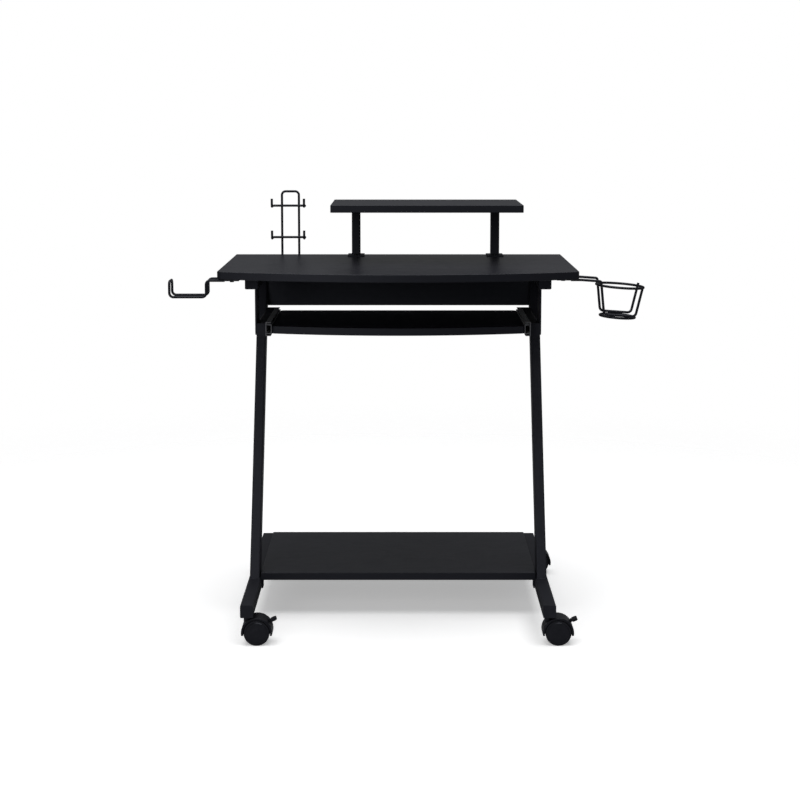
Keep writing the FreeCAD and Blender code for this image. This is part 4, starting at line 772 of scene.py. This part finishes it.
def studio_floor():
    """A level disc: each point is a radius times the cosine and sine of an angle. It is solid
    matt white near the desk and clear far from it. Like the room, it looks whiter than what
    it sheds."""
    radius = np.linspace(0.02, 1, 24)[:, None] ** 2 * FLOOR_RADIUS
    angle = np.linspace(0, 2 * math.pi, 96, endpoint=False)[None, :]
    points = np.stack((radius * np.cos(angle), radius * np.sin(angle),
                       np.zeros((radius.size, angle.size))), axis=-1)
    rows, columns = points.shape[:2]
    faces = [corner[::-1] for corner in grid_faces(rows, columns, False, 0)[:-2]]
    faces.append(list(range(columns)))
    mesh = bpy.data.meshes.new("studio_floor")
    mesh.from_pydata(points.reshape(-1, 3).tolist(), [], faces)
    floor = bpy.data.objects.new("studio_floor", mesh)
    bpy.context.scene.collection.objects.link(floor)
    material, tree, shader, place = new_material("studio white")
    away = add_node(tree, "VectorMath", {0: place}, operation="LENGTH").outputs["Value"]
    clear = smooth_step(tree, away, FLOOR_SOLID, FLOOR_CLEAR)
    grain = noise(tree, place, FLOOR_GRAIN, 3.0)
    looked_at = add_node(tree, "LightPath").outputs["Is Camera Ray"]
    set_shader(tree, shader, Base_Color=blended(tree, looked_at, FLOOR_SHED, FLOOR_WHITE),
               Emission_Color=ROOM_WHITE, Specular_IOR_Level=0.0,
               Emission_Strength=arithmetic(tree, "MULTIPLY", looked_at, FLOOR_LIFT),
               Roughness=between(tree, grain, 0.88, 0.94), Alpha=arithmetic(tree, "SUBTRACT", 1.0, clear))
    mesh.materials.append(material)
    return floor


def studio_room(seen, shed):
    """World light with one strength for what the camera sees and another for what it sheds."""
    world = bpy.data.worlds.new("studio room")
    world.use_nodes = True
    tree = world.node_tree
    tree.nodes.clear()
    looked_at = add_node(tree, "LightPath").outputs["Is Camera Ray"]
    shown = add_node(tree, "Background", {"Color": ROOM_WHITE, "Strength": seen}).outputs[0]
    given = add_node(tree, "Background", {"Color": ROOM_SHED, "Strength": shed}).outputs[0]
    mixed = add_node(tree, "MixShader", {0: looked_at, 1: given, 2: shown}).outputs[0]
    add_node(tree, "OutputWorld", {"Surface": mixed})
    bpy.context.scene.world = world


def soft_box(name, place, aim, wide, tall, power):
    """A rectangular lamp that faces a point."""
    data = bpy.data.lights.new(name, "AREA")
    data.shape = "RECTANGLE"
    data.size = wide
    data.size_y = tall
    data.energy = power
    lamp = bpy.data.objects.new(name, data)
    bpy.context.scene.collection.objects.link(lamp)
    away = np.array(aim, float) - np.array(place, float)
    flat = math.hypot(away[0], away[1])
    lamp.location = place
    lamp.rotation_euler = Euler((math.atan2(flat, -away[2]), 0, math.atan2(-away[0], away[1])))


studio_floor()
studio_room(ROOM_SEEN_STRENGTH, ROOM_SHED_STRENGTH)
soft_box("overhead_box", place=(0.0, -0.4, 3.2), aim=(0, 0, 0.4), wide=3.6, tall=3.0, power=105.0)
soft_box("front_box", place=(-1.6, -3.4, 1.5), aim=(0, 0, 0.45), wide=1.6, tall=1.6, power=26.0)


# ---- Camera ----------------------------------------------------------------------------
# A long lens in front of the desk, just above the monitor shelf, tipped down a little. The
# lens is also shifted down, so that the view reaches further below its axis than above it.

LENS = 73.7
SENSOR = 36.0
LENS_SHIFT = -0.12
TIPPED_DOWN = 6.75
RIGHT_OF_MIDDLE = 0.0036
AHEAD_OF_REAR_EDGE = 3.530
ABOVE_DESKTOP = 0.3093

desk_low, desk_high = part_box("desktop")
camera_data = bpy.data.cameras.new("camera")
camera_data.lens = LENS
camera_data.sensor_width = SENSOR
camera_data.shift_y = LENS_SHIFT
camera = bpy.data.objects.new("camera", camera_data)
camera.location = ((desk_low.x + desk_high.x) / 2 + RIGHT_OF_MIDDLE,
                   desk_high.y - AHEAD_OF_REAR_EDGE, desk_high.z + ABOVE_DESKTOP)
camera.rotation_euler = Euler((math.radians(90 - TIPPED_DOWN), 0, 0))
bpy.context.scene.collection.objects.link(camera)
bpy.context.scene.camera = camera
bpy.context.scene.view_settings.view_transform = "Standard"
